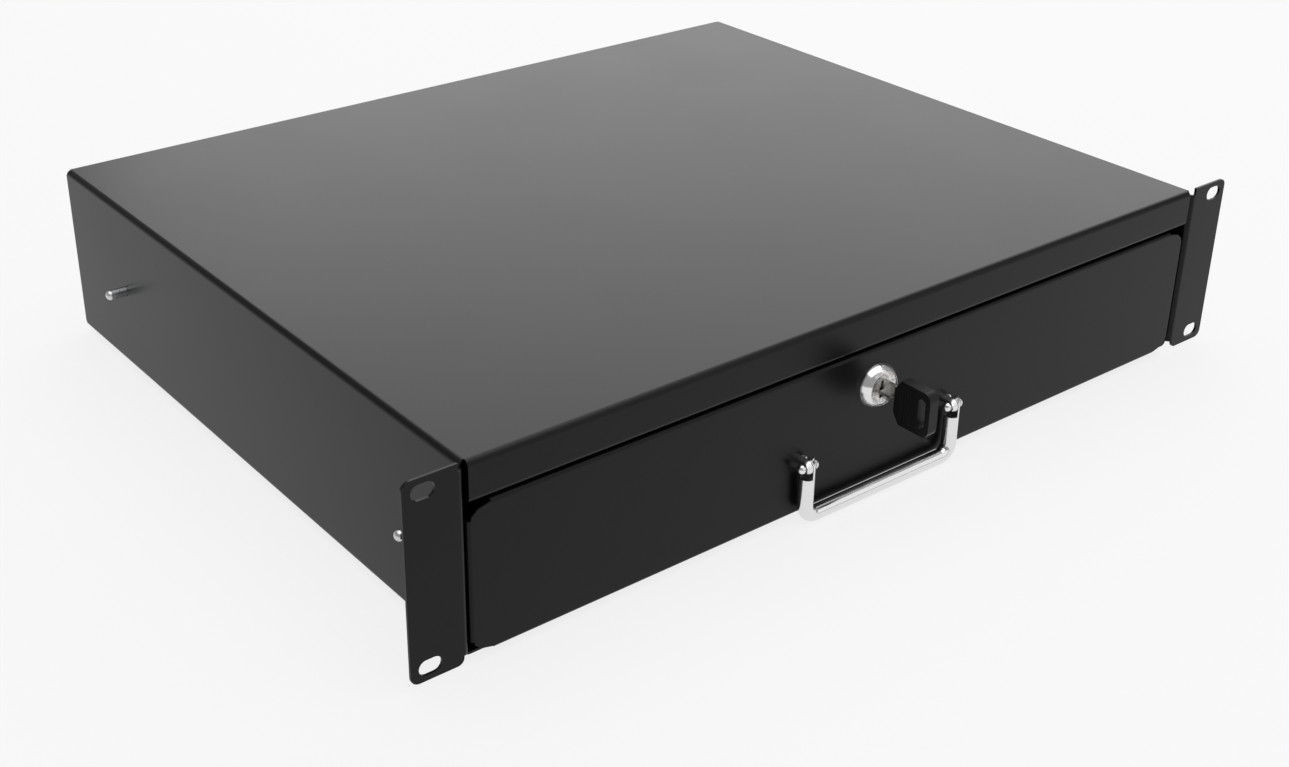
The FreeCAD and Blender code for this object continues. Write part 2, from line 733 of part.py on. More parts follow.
# ---- lock
def lock_body():
    """Bezel and flatted barrel, bored for the plug."""
    bezel = rod(V(0, bezel_front, lock_z), BACK, bezel_radius, bezel_height)
    rim = [e for e in bezel.Edges if e.Closed and abs(e.CenterOfMass.y - bezel_front) < same_place]
    bezel = bezel.makeFillet(bezel_round, rim)
    barrel = rod(V(0, front_face, lock_z), BACK, barrel_radius, barrel_length)
    half = barrel_flats / 2
    flats = block(-half, half, front_face, barrel_rear, lock_z - bezel_radius, lock_z + bezel_radius)
    start = V(0, bezel_front - overcut, lock_z)
    bore = rod(start, BACK, plug_radius + plug_play, bezel_height + barrel_length + 2 * overcut)
    recess = rod(start, BACK, recess_radius, recess_depth + overcut)
    return drilled(joined([bezel, barrel.common(flats)]), [bore, recess])


def lock_washer():
    return ring(V(0, tray_wall_back, lock_z), BACK, lock_washer_radius, barrel_radius + barrel_hole_play,
                lock_washer_height)


def lock_nut():
    return nut(V(0, tray_wall_back + lock_washer_height, lock_z), lock_nut_flats, lock_nut_height,
               barrel_radius + plug_play)


def wafer_places():
    first = plug_face + recess_depth + wafer_pitch
    return [first + i * wafer_pitch for i in range(wafer_count)]


def lock_plug():
    """Turning core, with the keyway, the wafer slots and a square tail for the cam."""
    head_back = bezel_front + recess_depth
    head = rod(V(0, plug_face, lock_z), BACK, plug_head_radius, head_back - plug_face - plug_play)
    core = rod(V(0, plug_face, lock_z), BACK, plug_radius, barrel_rear - plug_face)
    s = plug_square / 2
    tail = block(-s, s, barrel_rear, cam_rear, lock_z - s, lock_z + s)
    w, h = keyway_width / 2, keyway_height / 2
    cutters = [block(-w, w, plug_face - overcut, plug_face + keyway_depth, lock_z - h, lock_z + h),
               rod(V(0, cam_rear - cam_screw_reach, lock_z), BACK, cam_screw_radius,
                   cam_screw_reach + overcut)]
    ww, wh = wafer_width / 2 + wafer_play, wafer_height / 2 + wafer_play
    cutters += [block(-ww, ww, y - wafer_play, y + wafer_thickness + wafer_play, lock_z - wh, lock_z + wh)
                for y in wafer_places()]
    return drilled(joined([head, core, tail]), cutters)


def lock_wafers():
    """Brass wafers in the plug, drawn level with it by the key."""
    w, h = wafer_width / 2, wafer_height / 2
    window_w, window_h = keyway_width / 2, keyway_height / 2
    wafers = []
    for y in wafer_places():
        plate = block(-w, w, y, y + wafer_thickness, lock_z - h, lock_z + h)
        inside = rod(V(0, y, lock_z), BACK, plug_radius - plug_play, wafer_thickness)
        window = block(-window_w, window_w, y, y + wafer_thickness, lock_z - window_h, lock_z + window_h)
        wafers.append(plate.common(inside).cut(window))
    return Part.makeCompound(wafers)


def lock_cam():
    """Flat cam that swings up behind the lip of the rail."""
    hub = rod(V(0, cam_front, lock_z), BACK, cam_hub_radius, cam_thickness)
    w = cam_width / 2
    corners = [V(0, cam_front, lock_z - w), V(cam_length, cam_front, lock_z - w),
               V(cam_length, cam_front, lock_z + w), V(0, cam_front, lock_z + w)]
    arm = rounded_face(corners, [0, cam_corner, cam_corner, 0]).extrude(BACK * cam_thickness)
    s = plug_square / 2 + plug_square_play
    square = block(-s, s, cam_front - overcut, cam_rear + overcut, lock_z - s, lock_z + s)
    return joined([hub, arm]).cut(square)


def cam_screw():
    head = domed_disc(V(0, cam_rear, lock_z), BACK, cam_screw_head_radius, cam_screw_head_height)
    shank = rod(V(0, cam_rear - cam_screw_reach, lock_z), BACK, cam_screw_radius, cam_screw_reach)
    return joined([head, shank])


# ---- key
def key_blade():
    w = keyway_width / 2 - key_play
    h = keyway_height / 2 - key_play
    tip = plug_face + keyway_depth - key_play
    nose = h / 2
    outline = [V(-w, bow_rear - key_root, lock_z - h), V(-w, tip - nose, lock_z - h), V(-w, tip, lock_z),
               V(-w, tip - nose, lock_z + h), V(-w, bow_rear - key_root, lock_z + h)]
    return rounded_face(outline, [0] * len(outline)).extrude(RIGHT * (2 * w))


def key_bow():
    """Moulded grip over the end of the blade, with a slot for a ring."""
    x0 = -bow_thickness / 2
    low, high = bow_z - bow_height / 2, bow_z + bow_height / 2
    outline = [(bow_front, low), (bow_rear - bow_chamfer_length, low),
               (bow_rear, low + bow_chamfer_height), (bow_rear, high - bow_chamfer_height),
               (bow_rear - bow_chamfer_length, high), (bow_front, high)]
    bow = rounded_face([V(x0, y, z) for y, z in outline], [bow_corner, 0, 0, 0, 0, bow_corner])
    bow = bow.extrude(RIGHT * bow_thickness)
    rims = [e for e in bow.Edges if abs(abs(e.CenterOfMass.x) + x0) < same_place]
    bow = bow.makeFillet(bow_edge_round, rims)
    run = (bow_slot_length - bow_slot_width) / 2
    slot_y = bow_front + bow_slot_inset
    through = bow_thickness + 2 * overcut
    ends = [rod(V(x0 - overcut, slot_y, bow_z + s * run), RIGHT, bow_slot_width / 2, through)
            for s in (-1, 1)]
    middle = block(x0 - overcut, -x0 + overcut, slot_y - bow_slot_width / 2, slot_y + bow_slot_width / 2,
                   bow_z - run, bow_z + run)
    w, h = keyway_width / 2 - key_play, keyway_height / 2 - key_play
    socket = block(-w, w, bow_rear - key_root, bow_rear + overcut, lock_z - h, lock_z + h)
    return drilled(bow, ends + [middle, socket])


# ---- handle
def handle_post(x):
    """Post on the drawer front: a round collar, and a half-lapped eye for the pivot pin."""
    neck = rod(V(x, pivot_y, bail_z), BACK, bail_rod_radius, pivot_standoff)
    eye = rod(V(x - bail_rod_radius, pivot_y, bail_z), RIGHT, bail_rod_radius, 2 * bail_rod_radius)
    front_half_space = block(x - bail_rod_radius, x + bail_rod_radius, pivot_y - bail_rod_radius, pivot_y,
                             bail_z - bail_rod_radius, bail_z + bail_rod_radius)
    tip = rod(V(x, pivot_y - bail_rod_radius, bail_z), BACK, bail_rod_radius, bail_rod_radius)
    tip = tip.common(eye).common(front_half_space)
    stud = rod(V(x, front_face, bail_z), BACK, post_screw_radius, post_screw_length)
    lap_back = front_face - post_collar - lap_gap
    lap = block(x - lap_gap, x + 2 * bail_rod_radius, pivot_y - 2 * bail_rod_radius, lap_back,
                bail_z - 2 * bail_rod_radius, bail_z + 2 * bail_rod_radius)
    post = joined([neck, tip]).cut(lap)
    bore = rod(V(x - 2 * bail_rod_radius, pivot_y, bail_z), RIGHT, pin_radius, 4 * bail_rod_radius)
    return joined([post, stud]).cut(bore)


def pivot_pin(x):
    """Rivet through the half lap, with a round head at each end."""
    shank = rod(V(x - bail_rod_radius, pivot_y, bail_z), RIGHT, pin_radius, 2 * bail_rod_radius)
    heads = [domed_disc(V(x + s * bail_rod_radius, pivot_y, bail_z), RIGHT * s,
                        pin_head_radius, pin_head_height) for s in (-1, 1)]
    return joined([shank] + heads)


def post_washers():
    return Part.makeCompound([ring(V(x, tray_wall_back, bail_z), BACK, post_washer_radius,
                                   post_screw_radius + screw_hole_play, post_washer_height)
                              for x in post_places_x])


def post_nuts():
    return Part.makeCompound([nut(V(x, tray_wall_back + post_washer_height, bail_z), post_nut_flats,
                                  post_nut_height, post_screw_radius) for x in post_places_x])


def bail_handle():
    """Round rod bent into a U, each end milled to half its thickness where it laps a post."""
    half, low = bail_width / 2, bail_z - bail_drop
    left, right = V(-half, pivot_y, bail_z), V(half, pivot_y, bail_z)
    b = bail_bend
    diagonal = b * (1 - math.sqrt(0.5))
    path = [Part.makeLine(left, V(-half, pivot_y, low + b)),
            Part.Arc(V(-half, pivot_y, low + b), V(-half + diagonal, pivot_y, low + diagonal),
                     V(-half + b, pivot_y, low)).toShape(),
            Part.makeLine(V(-half + b, pivot_y, low), V(half - b, pivot_y, low)),
            Part.Arc(V(half - b, pivot_y, low), V(half - diagonal, pivot_y, low + diagonal),
                     V(half, pivot_y, low + b)).toShape(),
            Part.makeLine(V(half, pivot_y, low + b), right)]
    section = Part.Wire(Part.makeCircle(bail_rod_radius, left, UP))
    rod_shape = Part.Wire(path).makePipeShell([section], True, False)
    r = bail_rod_radius
    for x in post_places_x:
        end = rod(V(x, pivot_y, bail_z), UP, r, r)
        eye = rod(V(x - r, pivot_y, bail_z), RIGHT, r, 2 * r)
        rod_shape = rod_shape.fuse(end.common(eye))
    rod_shape = rod_shape.removeSplitter()
    cutters = []
    for x in post_places_x:
        cutters.append(block(x - 2 * r, x + lap_gap, pivot_y - 2 * r, pivot_y + 2 * r,
                             bail_z - bail_shoulder, bail_z + 2 * r))
        cutters.append(rod(V(x - 2 * r, pivot_y, bail_z), RIGHT, pin_radius + pin_play, 4 * r))
    return drilled(rod_shape, cutters)


# ---- every sub-part by name
right_slide = {
    "outer_slide": outer_slide(),
    "middle_slide": middle_slide(),
    "inner_slide": inner_slide(),
    "outer_cage": ball_cage(outer_cage_u, outer_ball_u, outer_ball_v),
    "outer_balls": balls(outer_ball_u, outer_ball_v),
    "inner_cage": ball_cage(inner_cage_u, inner_ball_u, inner_ball_v),
    "inner_balls": balls(inner_ball_u, inner_ball_v),
    "rear_bumper": rear_bumper(),
}
nodes = {
    "case_wrap": case_wrap(),
    "bottom_plate": bottom_plate(),
    "rear_panel": rear_panel(),
    "rear_screws": rear_screws(),
    "bottom_rivets": bottom_rivets(),
    "slide_bolts": slide_bolts(),
    "drawer_front": drawer_front(),
    "drawer_tray": drawer_tray(),
    "slide_screws": slide_screws(),
    "front_studs": front_studs(),
    "front_nuts": front_nuts(),
    "lock_body": at_lock(lock_body()),
    "lock_washer": at_lock(lock_washer()),
    "lock_nut": at_lock(lock_nut()),
    "lock_plug": at_lock(lock_plug()),
    "lock_wafers": at_lock(lock_wafers()),
    "lock_cam": at_lock(lock_cam()),
    "cam_screw": at_lock(cam_screw()),
    "key_blade": at_lock(key_blade()),
    "key_bow": at_lock(key_bow()),
    "handle_post_left": handle_post(post_places_x[0]),
    "handle_post_right": handle_post(post_places_x[1]),
    "pivot_pin_left": pivot_pin(post_places_x[0]),
    "pivot_pin_right": pivot_pin(post_places_x[1]),
    "post_washers": post_washers(),
    "post_nuts": post_nuts(),
    "bail_handle": bail_handle(),
}
for name, shape in right_slide.items():
    nodes[name + "_right"] = shape
    nodes[name + "_left"] = mirrored(shape)

os.makedirs("parts", exist_ok=True)
for name, shape in nodes.items():
    shape.exportStep("parts/" + name + ".step")
    low, high = shape.BoundBox.ZMin, shape.BoundBox.ZMax
    print("%-20s solids %2d valid %s volume %10.1f z %.2f..%.2f"
          % (name, len(shape.Solids), shape.isValid(), shape.Volume, low, high))
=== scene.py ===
"""Rack drawer: modelled pieces, finishes and studio around the fixed frame of the part."""

import json
import math

import bmesh
import bpy
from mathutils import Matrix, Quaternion, Vector

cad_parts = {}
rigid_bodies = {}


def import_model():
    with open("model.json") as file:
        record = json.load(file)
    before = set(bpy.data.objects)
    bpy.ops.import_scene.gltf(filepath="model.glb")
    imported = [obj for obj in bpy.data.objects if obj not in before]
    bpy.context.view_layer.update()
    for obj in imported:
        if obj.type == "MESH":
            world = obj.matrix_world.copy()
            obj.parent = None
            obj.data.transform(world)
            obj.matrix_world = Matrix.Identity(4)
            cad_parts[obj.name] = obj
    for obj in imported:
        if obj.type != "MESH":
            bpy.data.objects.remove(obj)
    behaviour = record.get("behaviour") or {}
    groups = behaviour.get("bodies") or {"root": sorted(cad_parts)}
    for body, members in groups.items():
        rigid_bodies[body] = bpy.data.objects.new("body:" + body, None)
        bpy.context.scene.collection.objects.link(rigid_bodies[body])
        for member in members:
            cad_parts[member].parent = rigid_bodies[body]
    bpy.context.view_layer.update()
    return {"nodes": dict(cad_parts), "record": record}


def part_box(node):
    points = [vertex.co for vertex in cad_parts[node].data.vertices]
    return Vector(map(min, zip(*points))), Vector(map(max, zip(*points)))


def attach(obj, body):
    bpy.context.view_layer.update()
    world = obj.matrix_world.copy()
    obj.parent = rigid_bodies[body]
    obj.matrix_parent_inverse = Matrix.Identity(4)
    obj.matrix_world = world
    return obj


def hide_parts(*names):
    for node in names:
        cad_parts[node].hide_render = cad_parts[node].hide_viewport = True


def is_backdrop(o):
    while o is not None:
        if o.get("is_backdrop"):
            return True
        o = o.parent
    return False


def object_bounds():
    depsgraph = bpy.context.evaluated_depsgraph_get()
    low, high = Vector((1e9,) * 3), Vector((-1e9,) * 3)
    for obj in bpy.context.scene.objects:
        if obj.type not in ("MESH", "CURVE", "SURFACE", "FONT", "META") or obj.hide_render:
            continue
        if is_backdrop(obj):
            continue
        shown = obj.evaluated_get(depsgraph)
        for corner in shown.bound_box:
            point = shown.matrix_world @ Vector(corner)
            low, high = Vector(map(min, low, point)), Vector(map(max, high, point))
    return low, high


bl_info = {
    "name": "Rack Drawer",
    "version": (1, 0, 0),
    "blender": (4, 5, 0),
    "location": "View3D > Sidebar > Rack Drawer",
    "description": "Models and finishes a sliding drawer for a 19-inch rack",
    "category": "Add Mesh",
}

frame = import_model()
MM = 0.001
NEAR = 0.002 * MM               # places closer than this are the same
FINISH = "finish_"

# Rounding of cut and turned edges.
ROD_EDGE = 0.15 * MM
FINE_EDGE = 0.12 * MM
THIN_EDGE = 0.1 * MM

# Bezel of the lock.
BEZEL_ARC = (14, 45)            # degrees, from its foot to its crown
BEZEL_STEPS = 10
BEZEL_LEVEL = 0.1 * MM          # level ring round the recess

# Plug of the lock.
PLUG_PLAY = 0.05 * MM
PLUG_CHAMFER = 0.3 * MM
PLUG_TAIL = 3.5 * MM            # half the side of its square end

# Key.
NOSE_SHARE = (0.5, 0.12)        # thickness and height left at the tip
CUT_DEPTHS = (0.8, 1.3, 0.5, 1.1, 0.7)          # millimetres, from the nose
BLADE_GROOVE = (0.5 * MM, 0.6 * MM, 2.4 * MM)   # depth, lower and upper end
GROOVE_START = 0.4              # of a pitch, from the slope
GROOVE_WIDTH = 0.45             # of a pitch
GROOVE_REACH = 0.38             # of the grip's height, each way

# Slide bolts.
BOLT_SHANK = 2.45 * MM
BOLT_HEAD = 4.5 * MM
BOLT_HEAD_HEIGHT = 1.6 * MM
BOLT_HEAD_CHAMFER = 0.4 * MM

# Stage.
FLOOR_GAP = 0.3 * MM
LAMP_AIM = Vector((0, 0.15, 0))
SENSOR_WIDTH = 36
SOFTBOXES = (
    # name, azimuth, elevation, distance, width and height, radiance
    ("overhead_softbox", 0, 90, 2.0, (2.6, 2.6), 2.2),
    ("rear_softbox", 50, 30, 2.4, (3.2, 2.0), 1.9),
    ("front_softbox", 160, 27, 2.4, (3.0, 2.0), 0.62),
)

# Sockets of a colour Mix node, and the range that holds most of a noise.
MIX_DARK, MIX_LIGHT, MIX_RESULT = 6, 7, 2
NOISE_RANGE = (0.3, 0.7)


# ---- settings
def length_setting(name, description, millimetres):
    return bpy.props.FloatProperty(
        name=name, description=description, default=millimetres * MM, unit="LENGTH")


def lengths_setting(name, description, millimetres):
    return bpy.props.FloatVectorProperty(
        name=name, description=description, size=len(millimetres), unit="LENGTH",
        default=[value * MM for value in millimetres])


def colour_setting(name, description, colour):
    return bpy.props.FloatVectorProperty(
        name=name, description=description, subtype="COLOR", size=3, min=0, max=1, default=colour)


def share_setting(name, description, share):
    return bpy.props.FloatProperty(
        name=name, description=description, default=share, min=0, max=1, subtype="FACTOR")


def angle_setting(name, description, degrees):
    return bpy.props.FloatProperty(
        name=name, description=description, default=math.radians(degrees), subtype="ANGLE")


class PaintSettings(bpy.types.PropertyGroup):
    """Black powder coat of the case and the drawer."""

    colour: colour_setting("Colour", "Colour under the gloss", (0.0035, 0.0035, 0.0037))
    roughness: share_setting("Roughness", "Softness of the reflections", 0.30)
    ior: bpy.props.FloatProperty(
        name="Gloss", description="Refractive index of the coat", default=1.27, min=1, max=2)
    peel_size: length_setting("Peel size", "Size of the orange peel", 1.3)
    peel_depth: length_setting("Peel depth", "Depth of the orange peel", 0.004)


class MetalSettings(bpy.types.PropertyGroup):
    """Plated and bare metals."""

    chrome: colour_setting("Chrome", "Colour of the chrome plate", (0.80, 0.80, 0.81))
    chrome_roughness: share_setting("Chrome roughness", "Softness of the chrome", 0.14)
    nickel: colour_setting("Nickel", "Colour of the satin nickel", (0.66, 0.65, 0.63))
    zinc: colour_setting("Zinc", "Colour of the zinc plate", (0.62, 0.64, 0.66))
    brass: colour_setting("Brass", "Colour of the wafers", (0.72, 0.55, 0.26))


class SheetSettings(bpy.types.PropertyGroup):
    """Folded sheet of the case."""

    thickness: length_setting("Sheet", "Thickness of the steel sheet", 1.2)
    bend: length_setting("Bend", "Inside radius of the folds of the case", 1.5)
    fold_steps: bpy.props.IntProperty(
        name="Fold steps", description="Facets in each fold", default=8, min=2)
    edge: length_setting("Edge", "Rounding of the sheet's cut edges", 0.2)
    ear_reach: length_setting("Ear reach", "Ears beyond the case walls", 25.3)
    ear_outer_corner: length_setting("Outer corner", "Radius of the ears' outer corners", 4)
    ear_inner_corner: length_setting("Inner corner", "Radius of the ears' lower inner corner", 3)
    top_drop: length_setting("Top drop", "Top of the case below the ears' tops", 0.8)
    bottom_rise: length_setting("Bottom rise", "Case above the ears' lower ends", 1)
    bottom_flange: length_setting("Bottom flange", "Width of the flanges underneath", 10.7)
    rear_flange: length_setting("Rear flange", "Width of the flanges at the back", 12)
    rail_recess: length_setting("Rail recess", "Rail behind the ears' fronts", 0)
    rail_height: length_setting("Rail height", "Rail over the drawer", 18.3)
    rail_depth: length_setting("Rail depth", "Underside of the rail, front to back", 14.7)
    rail_lip: length_setting("Rail lip", "Height of the lip behind the rail", 10)
    rail_end_gap: length_setting("Rail end gap", "Rail to the inside of a case wall", 1.6)
    slot_inset: lengths_setting("Slot inset", "Slot's middle to the ear's end and edge", (8.75, 5.95))
    slot_size: lengths_setting("Slot size", "Length and width of a rack slot", (10.3, 6.8))
    bolt_hole: length_setting("Bolt hole", "Radius of the slide bolts' holes", 2.6)
    rivet_hole: length_setting("Rivet hole", "Radius of the rivets' holes", 1.6)


class FrontSettings(bpy.types.PropertyGroup):
    """Folded front of the drawer."""

    bend: length_setting("Bend", "Inside radius of its folds", 0.6)
    notch: lengths_setting("Notch", "Width and height of the step in each corner", (10.7, 1.0))
    notch_fall: length_setting("Notch fall", "Fall of the notch towards its slope", 1.4)
    chamfer: lengths_setting("Chamfer", "Width and height of the slope beyond it", (5, 4.2))
    lock_flats: length_setting("Lock flats", "Width of the lock's hole", 16.3)
    lock_hole: length_setting("Lock hole", "Radius of the lock's hole", 9.15)
    post_hole: length_setting("Post hole", "Radius of the posts' holes", 2.05)


class HandleSettings(bpy.types.PropertyGroup):
    """Bail, its posts and their pins."""

    bend: length_setting("Bend", "Radius of the bends on the rod's middle", 6)
    shoulder: length_setting("Shoulder", "Step of the half lap below the pivot", 5.2)
    lap_gap: length_setting("Lap gap", "Half lap's face to the middle of the rod", 0.15)
    pin_radius: length_setting("Pin radius", "Radius of the pivot pins", 1.3)
    pin_head: lengths_setting("Pin head", "Radius and height of a pin's head", (2.3, 2.2))
    rise: length_setting("Rise", "Crossbar above its place in the CAD solid", 1.1)
    collar: length_setting("Collar", "Full round of a post, beside the front", 0.7)
    stud: length_setting("Stud", "Radius of a post's screwed end", 1.95)


class LockSettings(bpy.types.PropertyGroup):
    """Bezel and barrel of the lock."""

    bezel_height: length_setting("Bezel height", "Bezel beyond the drawer front", 4.8)
    bezel_round: length_setting("Bezel round", "Radius of the bezel's outline", 8.92)
    bezel_lip: length_setting("Bezel lip", "Width and height of the lip round the plug", 0.35)
    barrel_radius: length_setting("Barrel radius", "Radius over the barrel's thread", 9.0)
    barrel_flats: length_setting("Barrel flats", "Width across the barrel's flats", 16.0)
    bore: length_setting("Bore", "Radius of the hole for the plug", 6.5)
    recess: lengths_setting("Recess", "Radius and depth of the recess for the plug's head", (7.85, 2.4))
    keyway: lengths_setting("Keyway", "Width, height and depth of the keyway", (2.2, 8.7, 15))
    ward: lengths_setting(
        "Ward", "Reach, lower end and upper end of the ward in the keyway", (0.9, -2.7, -1.1))
    side_cuts: bpy.props.FloatVectorProperty(
        name="Side cuts", description="Reach, lower end and upper end of each cut beside the keyway",
        size=(3, 3), unit="LENGTH",
        default=((0.7 * MM, 1.2 * MM, 3.8 * MM),
                 (1.5 * MM, -0.6 * MM, 1.3 * MM),
                 (1.2 * MM, -4.3 * MM, -2.6 * MM)))
    key_play: length_setting("Key play", "Key to the keyway, all round", 0.1)


class KeySettings(bpy.types.PropertyGroup):
    """Blade and grip of the key."""

    cut: lengths_setting("Cuts", "Width and pitch of the cuts in the blade", (0.9, 2))
    shoulder: lengths_setting("Shoulder", "Length and height of the slopes towards the lock", (3.4, 5))
    corner: length_setting("Corner", "Radius of the grip's outer corners", 4)
    edge: length_setting("Edge", "Rounding of the grip's rim", 0.3)
    ridges: bpy.props.IntProperty(name="Ridges", description="Thumb grooves on each side", default=5, min=0)
    ridge_pitch: length_setting("Ridge pitch", "Distance between thumb grooves", 1.5)
    ridge_depth: length_setting("Ridge depth", "Depth of the thumb grooves", 0.3)
    ring_slot: lengths_setting(
        "Ring slot", "Length and width of the slot, and its middle to the outer end", (14, 4, 4.6))


class StageSettings(bpy.types.PropertyGroup):
    """Floor, lamps and camera."""

    floor_colour: colour_setting("Floor", "Colour of the floor", (0.90, 0.90, 0.90))
    backdrop_colour: colour_setting(
        "Backdrop", "Colour of the evenly lit background", (0.913, 0.913, 0.913))
    shadow_share: share_setting("Shadow", "Share of the part's shadow that is kept", 0.1)
    floor_size: bpy.props.FloatProperty(
        name="Floor size", description="Side of the square floor", default=24.0, unit="LENGTH")
    world_strength: bpy.props.FloatProperty(
        name="Surroundings", description="Brightness of the surroundings", default=0.35, min=0)
    camera_azimuth: angle_setting("Azimuth", "Camera's turn round the part", -38.344)
    camera_elevation: angle_setting("Elevation", "Camera's height angle", 26.286)
    camera_roll: angle_setting("Roll", "Camera's tilt", 0.612)
    camera_distance: length_setting("Distance", "Camera to its aim point", 657.89)
    camera_aim: bpy.props.FloatVectorProperty(
        name="Aim", description="Point that the camera looks at", size=3, subtype="TRANSLATION",
        default=(-144.09 * MM, 0, 79.25 * MM))
    camera_lens: bpy.props.FloatProperty(
        name="Lens", description="Focal length for a 36 mm sensor", default=49.490, min=1)
    camera_shift: bpy.props.FloatVectorProperty(
        name="Shift", description="Lens shift", size=2, default=(0.02, -0.05))


# ---- material helpers
def new_material(name, colour, roughness, metallic=0.0, ior=1.5):
    material = bpy.data.materials.new(name)
    material.use_nodes = True
    shader = material.node_tree.nodes["Principled BSDF"]
    shader.inputs["Base Color"].default_value = (*colour, 1)
    shader.inputs["Roughness"].default_value = roughness
    shader.inputs["Metallic"].default_value = metallic
    shader.inputs["IOR"].default_value = ior
    return material, material.node_tree, shader


def add_node(tree, kind, **values):
    node = tree.nodes.new(kind)
    for name, value in values.items():
        if name in node.inputs:
            node.inputs[name].default_value = value
        else:
            setattr(node, name, value)
    return node


def object_noise(tree, size, detail=2.0, roughness=0.5):
    """Noise of the given feature size in metres, fixed to the object."""
    place = add_node(tree, "ShaderNodeTexCoord")
    noise = add_node(tree, "ShaderNodeTexNoise", Scale=1 / size, Detail=detail, Roughness=roughness)
    tree.links.new(place.outputs["Object"], noise.inputs["Vector"])
    return noise


def remap(tree, noise, old, new=(0.0, 1.0)):
    """Carries a range of a noise over to a new range."""
    stretch = add_node(tree, "ShaderNodeMapRange", **{
        "From Min": old[0], "From Max": old[1], "To Min": new[0], "To Max": new[1]})
    tree.links.new(noise.outputs["Fac"], stretch.inputs["Value"])
    return stretch.outputs["Result"]


def vary_roughness(tree, shader, noise, low, high):
    tree.links.new(remap(tree, noise, NOISE_RANGE, (low, high)), shader.inputs["Roughness"])


def vary_colour(tree, shader, noise, dark, light, spread=0.5):
    """Mixes two colours by the middle of a noise, as far as the spread each way."""
    mix = add_node(tree, "ShaderNodeMix", data_type="RGBA")
    mix.inputs[MIX_DARK].default_value = (*dark, 1)
    mix.inputs[MIX_LIGHT].default_value = (*light, 1)
    tree.links.new(remap(tree, noise, (0.5 - spread, 0.5 + spread)), mix.inputs[0])
    tree.links.new(mix.outputs[MIX_RESULT], shader.inputs["Base Color"])


def add_bump(tree, shader, noise, depth):
    bump = add_node(tree, "ShaderNodeBump", Strength=1.0, Distance=depth)
    tree.links.new(noise.outputs["Fac"], bump.inputs["Height"])
    tree.links.new(bump.outputs["Normal"], shader.inputs["Normal"])


def scaled(colour, factor):
    return tuple(min(1.0, channel * factor) for channel in colour)


# ---- finishes
def powder_coat(name, paint):
    material, tree, shader = new_material(name, paint.colour, paint.roughness, ior=paint.ior)
    haze = object_noise(tree, 60 * MM, detail=3)
    vary_roughness(tree, shader, haze, paint.roughness - 0.01, paint.roughness + 0.01)
    vary_colour(tree, shader, haze, scaled(paint.colour, 0.92), scaled(paint.colour, 1.08))
    peel = object_noise(tree, paint.peel_size, detail=1)
    add_bump(tree, shader, peel, paint.peel_depth)
    return material


def chrome_plate(name, metal):
    material, tree, shader = new_material(name, metal.chrome, metal.chrome_roughness, metallic=1)
    smear = object_noise(tree, 4 * MM, detail=4)
    vary_roughness(tree, shader, smear, metal.chrome_roughness * 0.7, metal.chrome_roughness * 1.5)
    vary_colour(tree, shader, smear, scaled(metal.chrome, 0.95), scaled(metal.chrome, 1.03))
    return material


def satin_nickel(name, colour):
    material, tree, shader = new_material(name, colour, 0.35, metallic=1)
    stain = object_noise(tree, 1.1 * MM, detail=3, roughness=0.6)
    vary_roughness(tree, shader, stain, 0.28, 0.48)
    vary_colour(tree, shader, stain, scaled(colour, 0.5), scaled(colour, 1.3), spread=0.15)
    grain = object_noise(tree, 0.6 * MM, detail=4)
    add_bump(tree, shader, grain, 0.04 * MM)
    return material


def zinc_plate(name, metal):
    roughness = 0.3
    material, tree, shader = new_material(name, metal.zinc, roughness, metallic=1)
    bloom = object_noise(tree, 6 * MM, detail=6, roughness=0.65)
    vary_roughness(tree, shader, bloom, roughness - 0.08, roughness + 0.1)
    vary_colour(tree, shader, bloom, scaled(metal.zinc, 0.85), scaled(metal.zinc, 1.12))
    return material


def polished_steel(name, metal):
    material, tree, shader = new_material(name, scaled(metal.chrome, 0.9), 0.12, metallic=1)
    haze = object_noise(tree, 1.5 * MM)
    vary_roughness(tree, shader, haze, 0.08, 0.16)
    return material


def stamped_brass(name, metal):
    material, tree, shader = new_material(name, metal.brass, 0.35, metallic=1)
    tarnish = object_noise(tree, 1.2 * MM, detail=4)
    vary_roughness(tree, shader, tarnish, 0.28, 0.45)
    vary_colour(tree, shader, tarnish, scaled(metal.brass, 0.8), scaled(metal.brass, 1.1))
    return material


def black_zinc(name):
    colour = (0.02, 0.02, 0.021)
    material, tree, shader = new_material(name, colour, 0.35, metallic=0.3)
    haze = object_noise(tree, 1.5 * MM, detail=3)
    vary_roughness(tree, shader, haze, 0.28, 0.42)
    vary_colour(tree, shader, haze, scaled(colour, 0.7), scaled(colour, 1.3))
    return material


def moulded_plastic(name):
    colour = (0.005, 0.005, 0.0054)
    material, tree, shader = new_material(name, colour, 0.42, ior=1.3)
    grain = object_noise(tree, 0.35 * MM, detail=3)
    vary_roughness(tree, shader, grain, 0.36, 0.5)
    vary_colour(tree, shader, grain, scaled(colour, 0.8), scaled(colour, 1.3))
    add_bump(tree, shader, grain, 0.012 * MM)
    return material


def bumper_rubber(name):
    colour = (0.012, 0.012, 0.012)
    material, tree, shader = new_material(name, colour, 0.75)
    grain = object_noise(tree, 0.6 * MM, detail=3)
    vary_roughness(tree, shader, grain, 0.68, 0.85)
    add_bump(tree, shader, grain, 0.02 * MM)
    return material


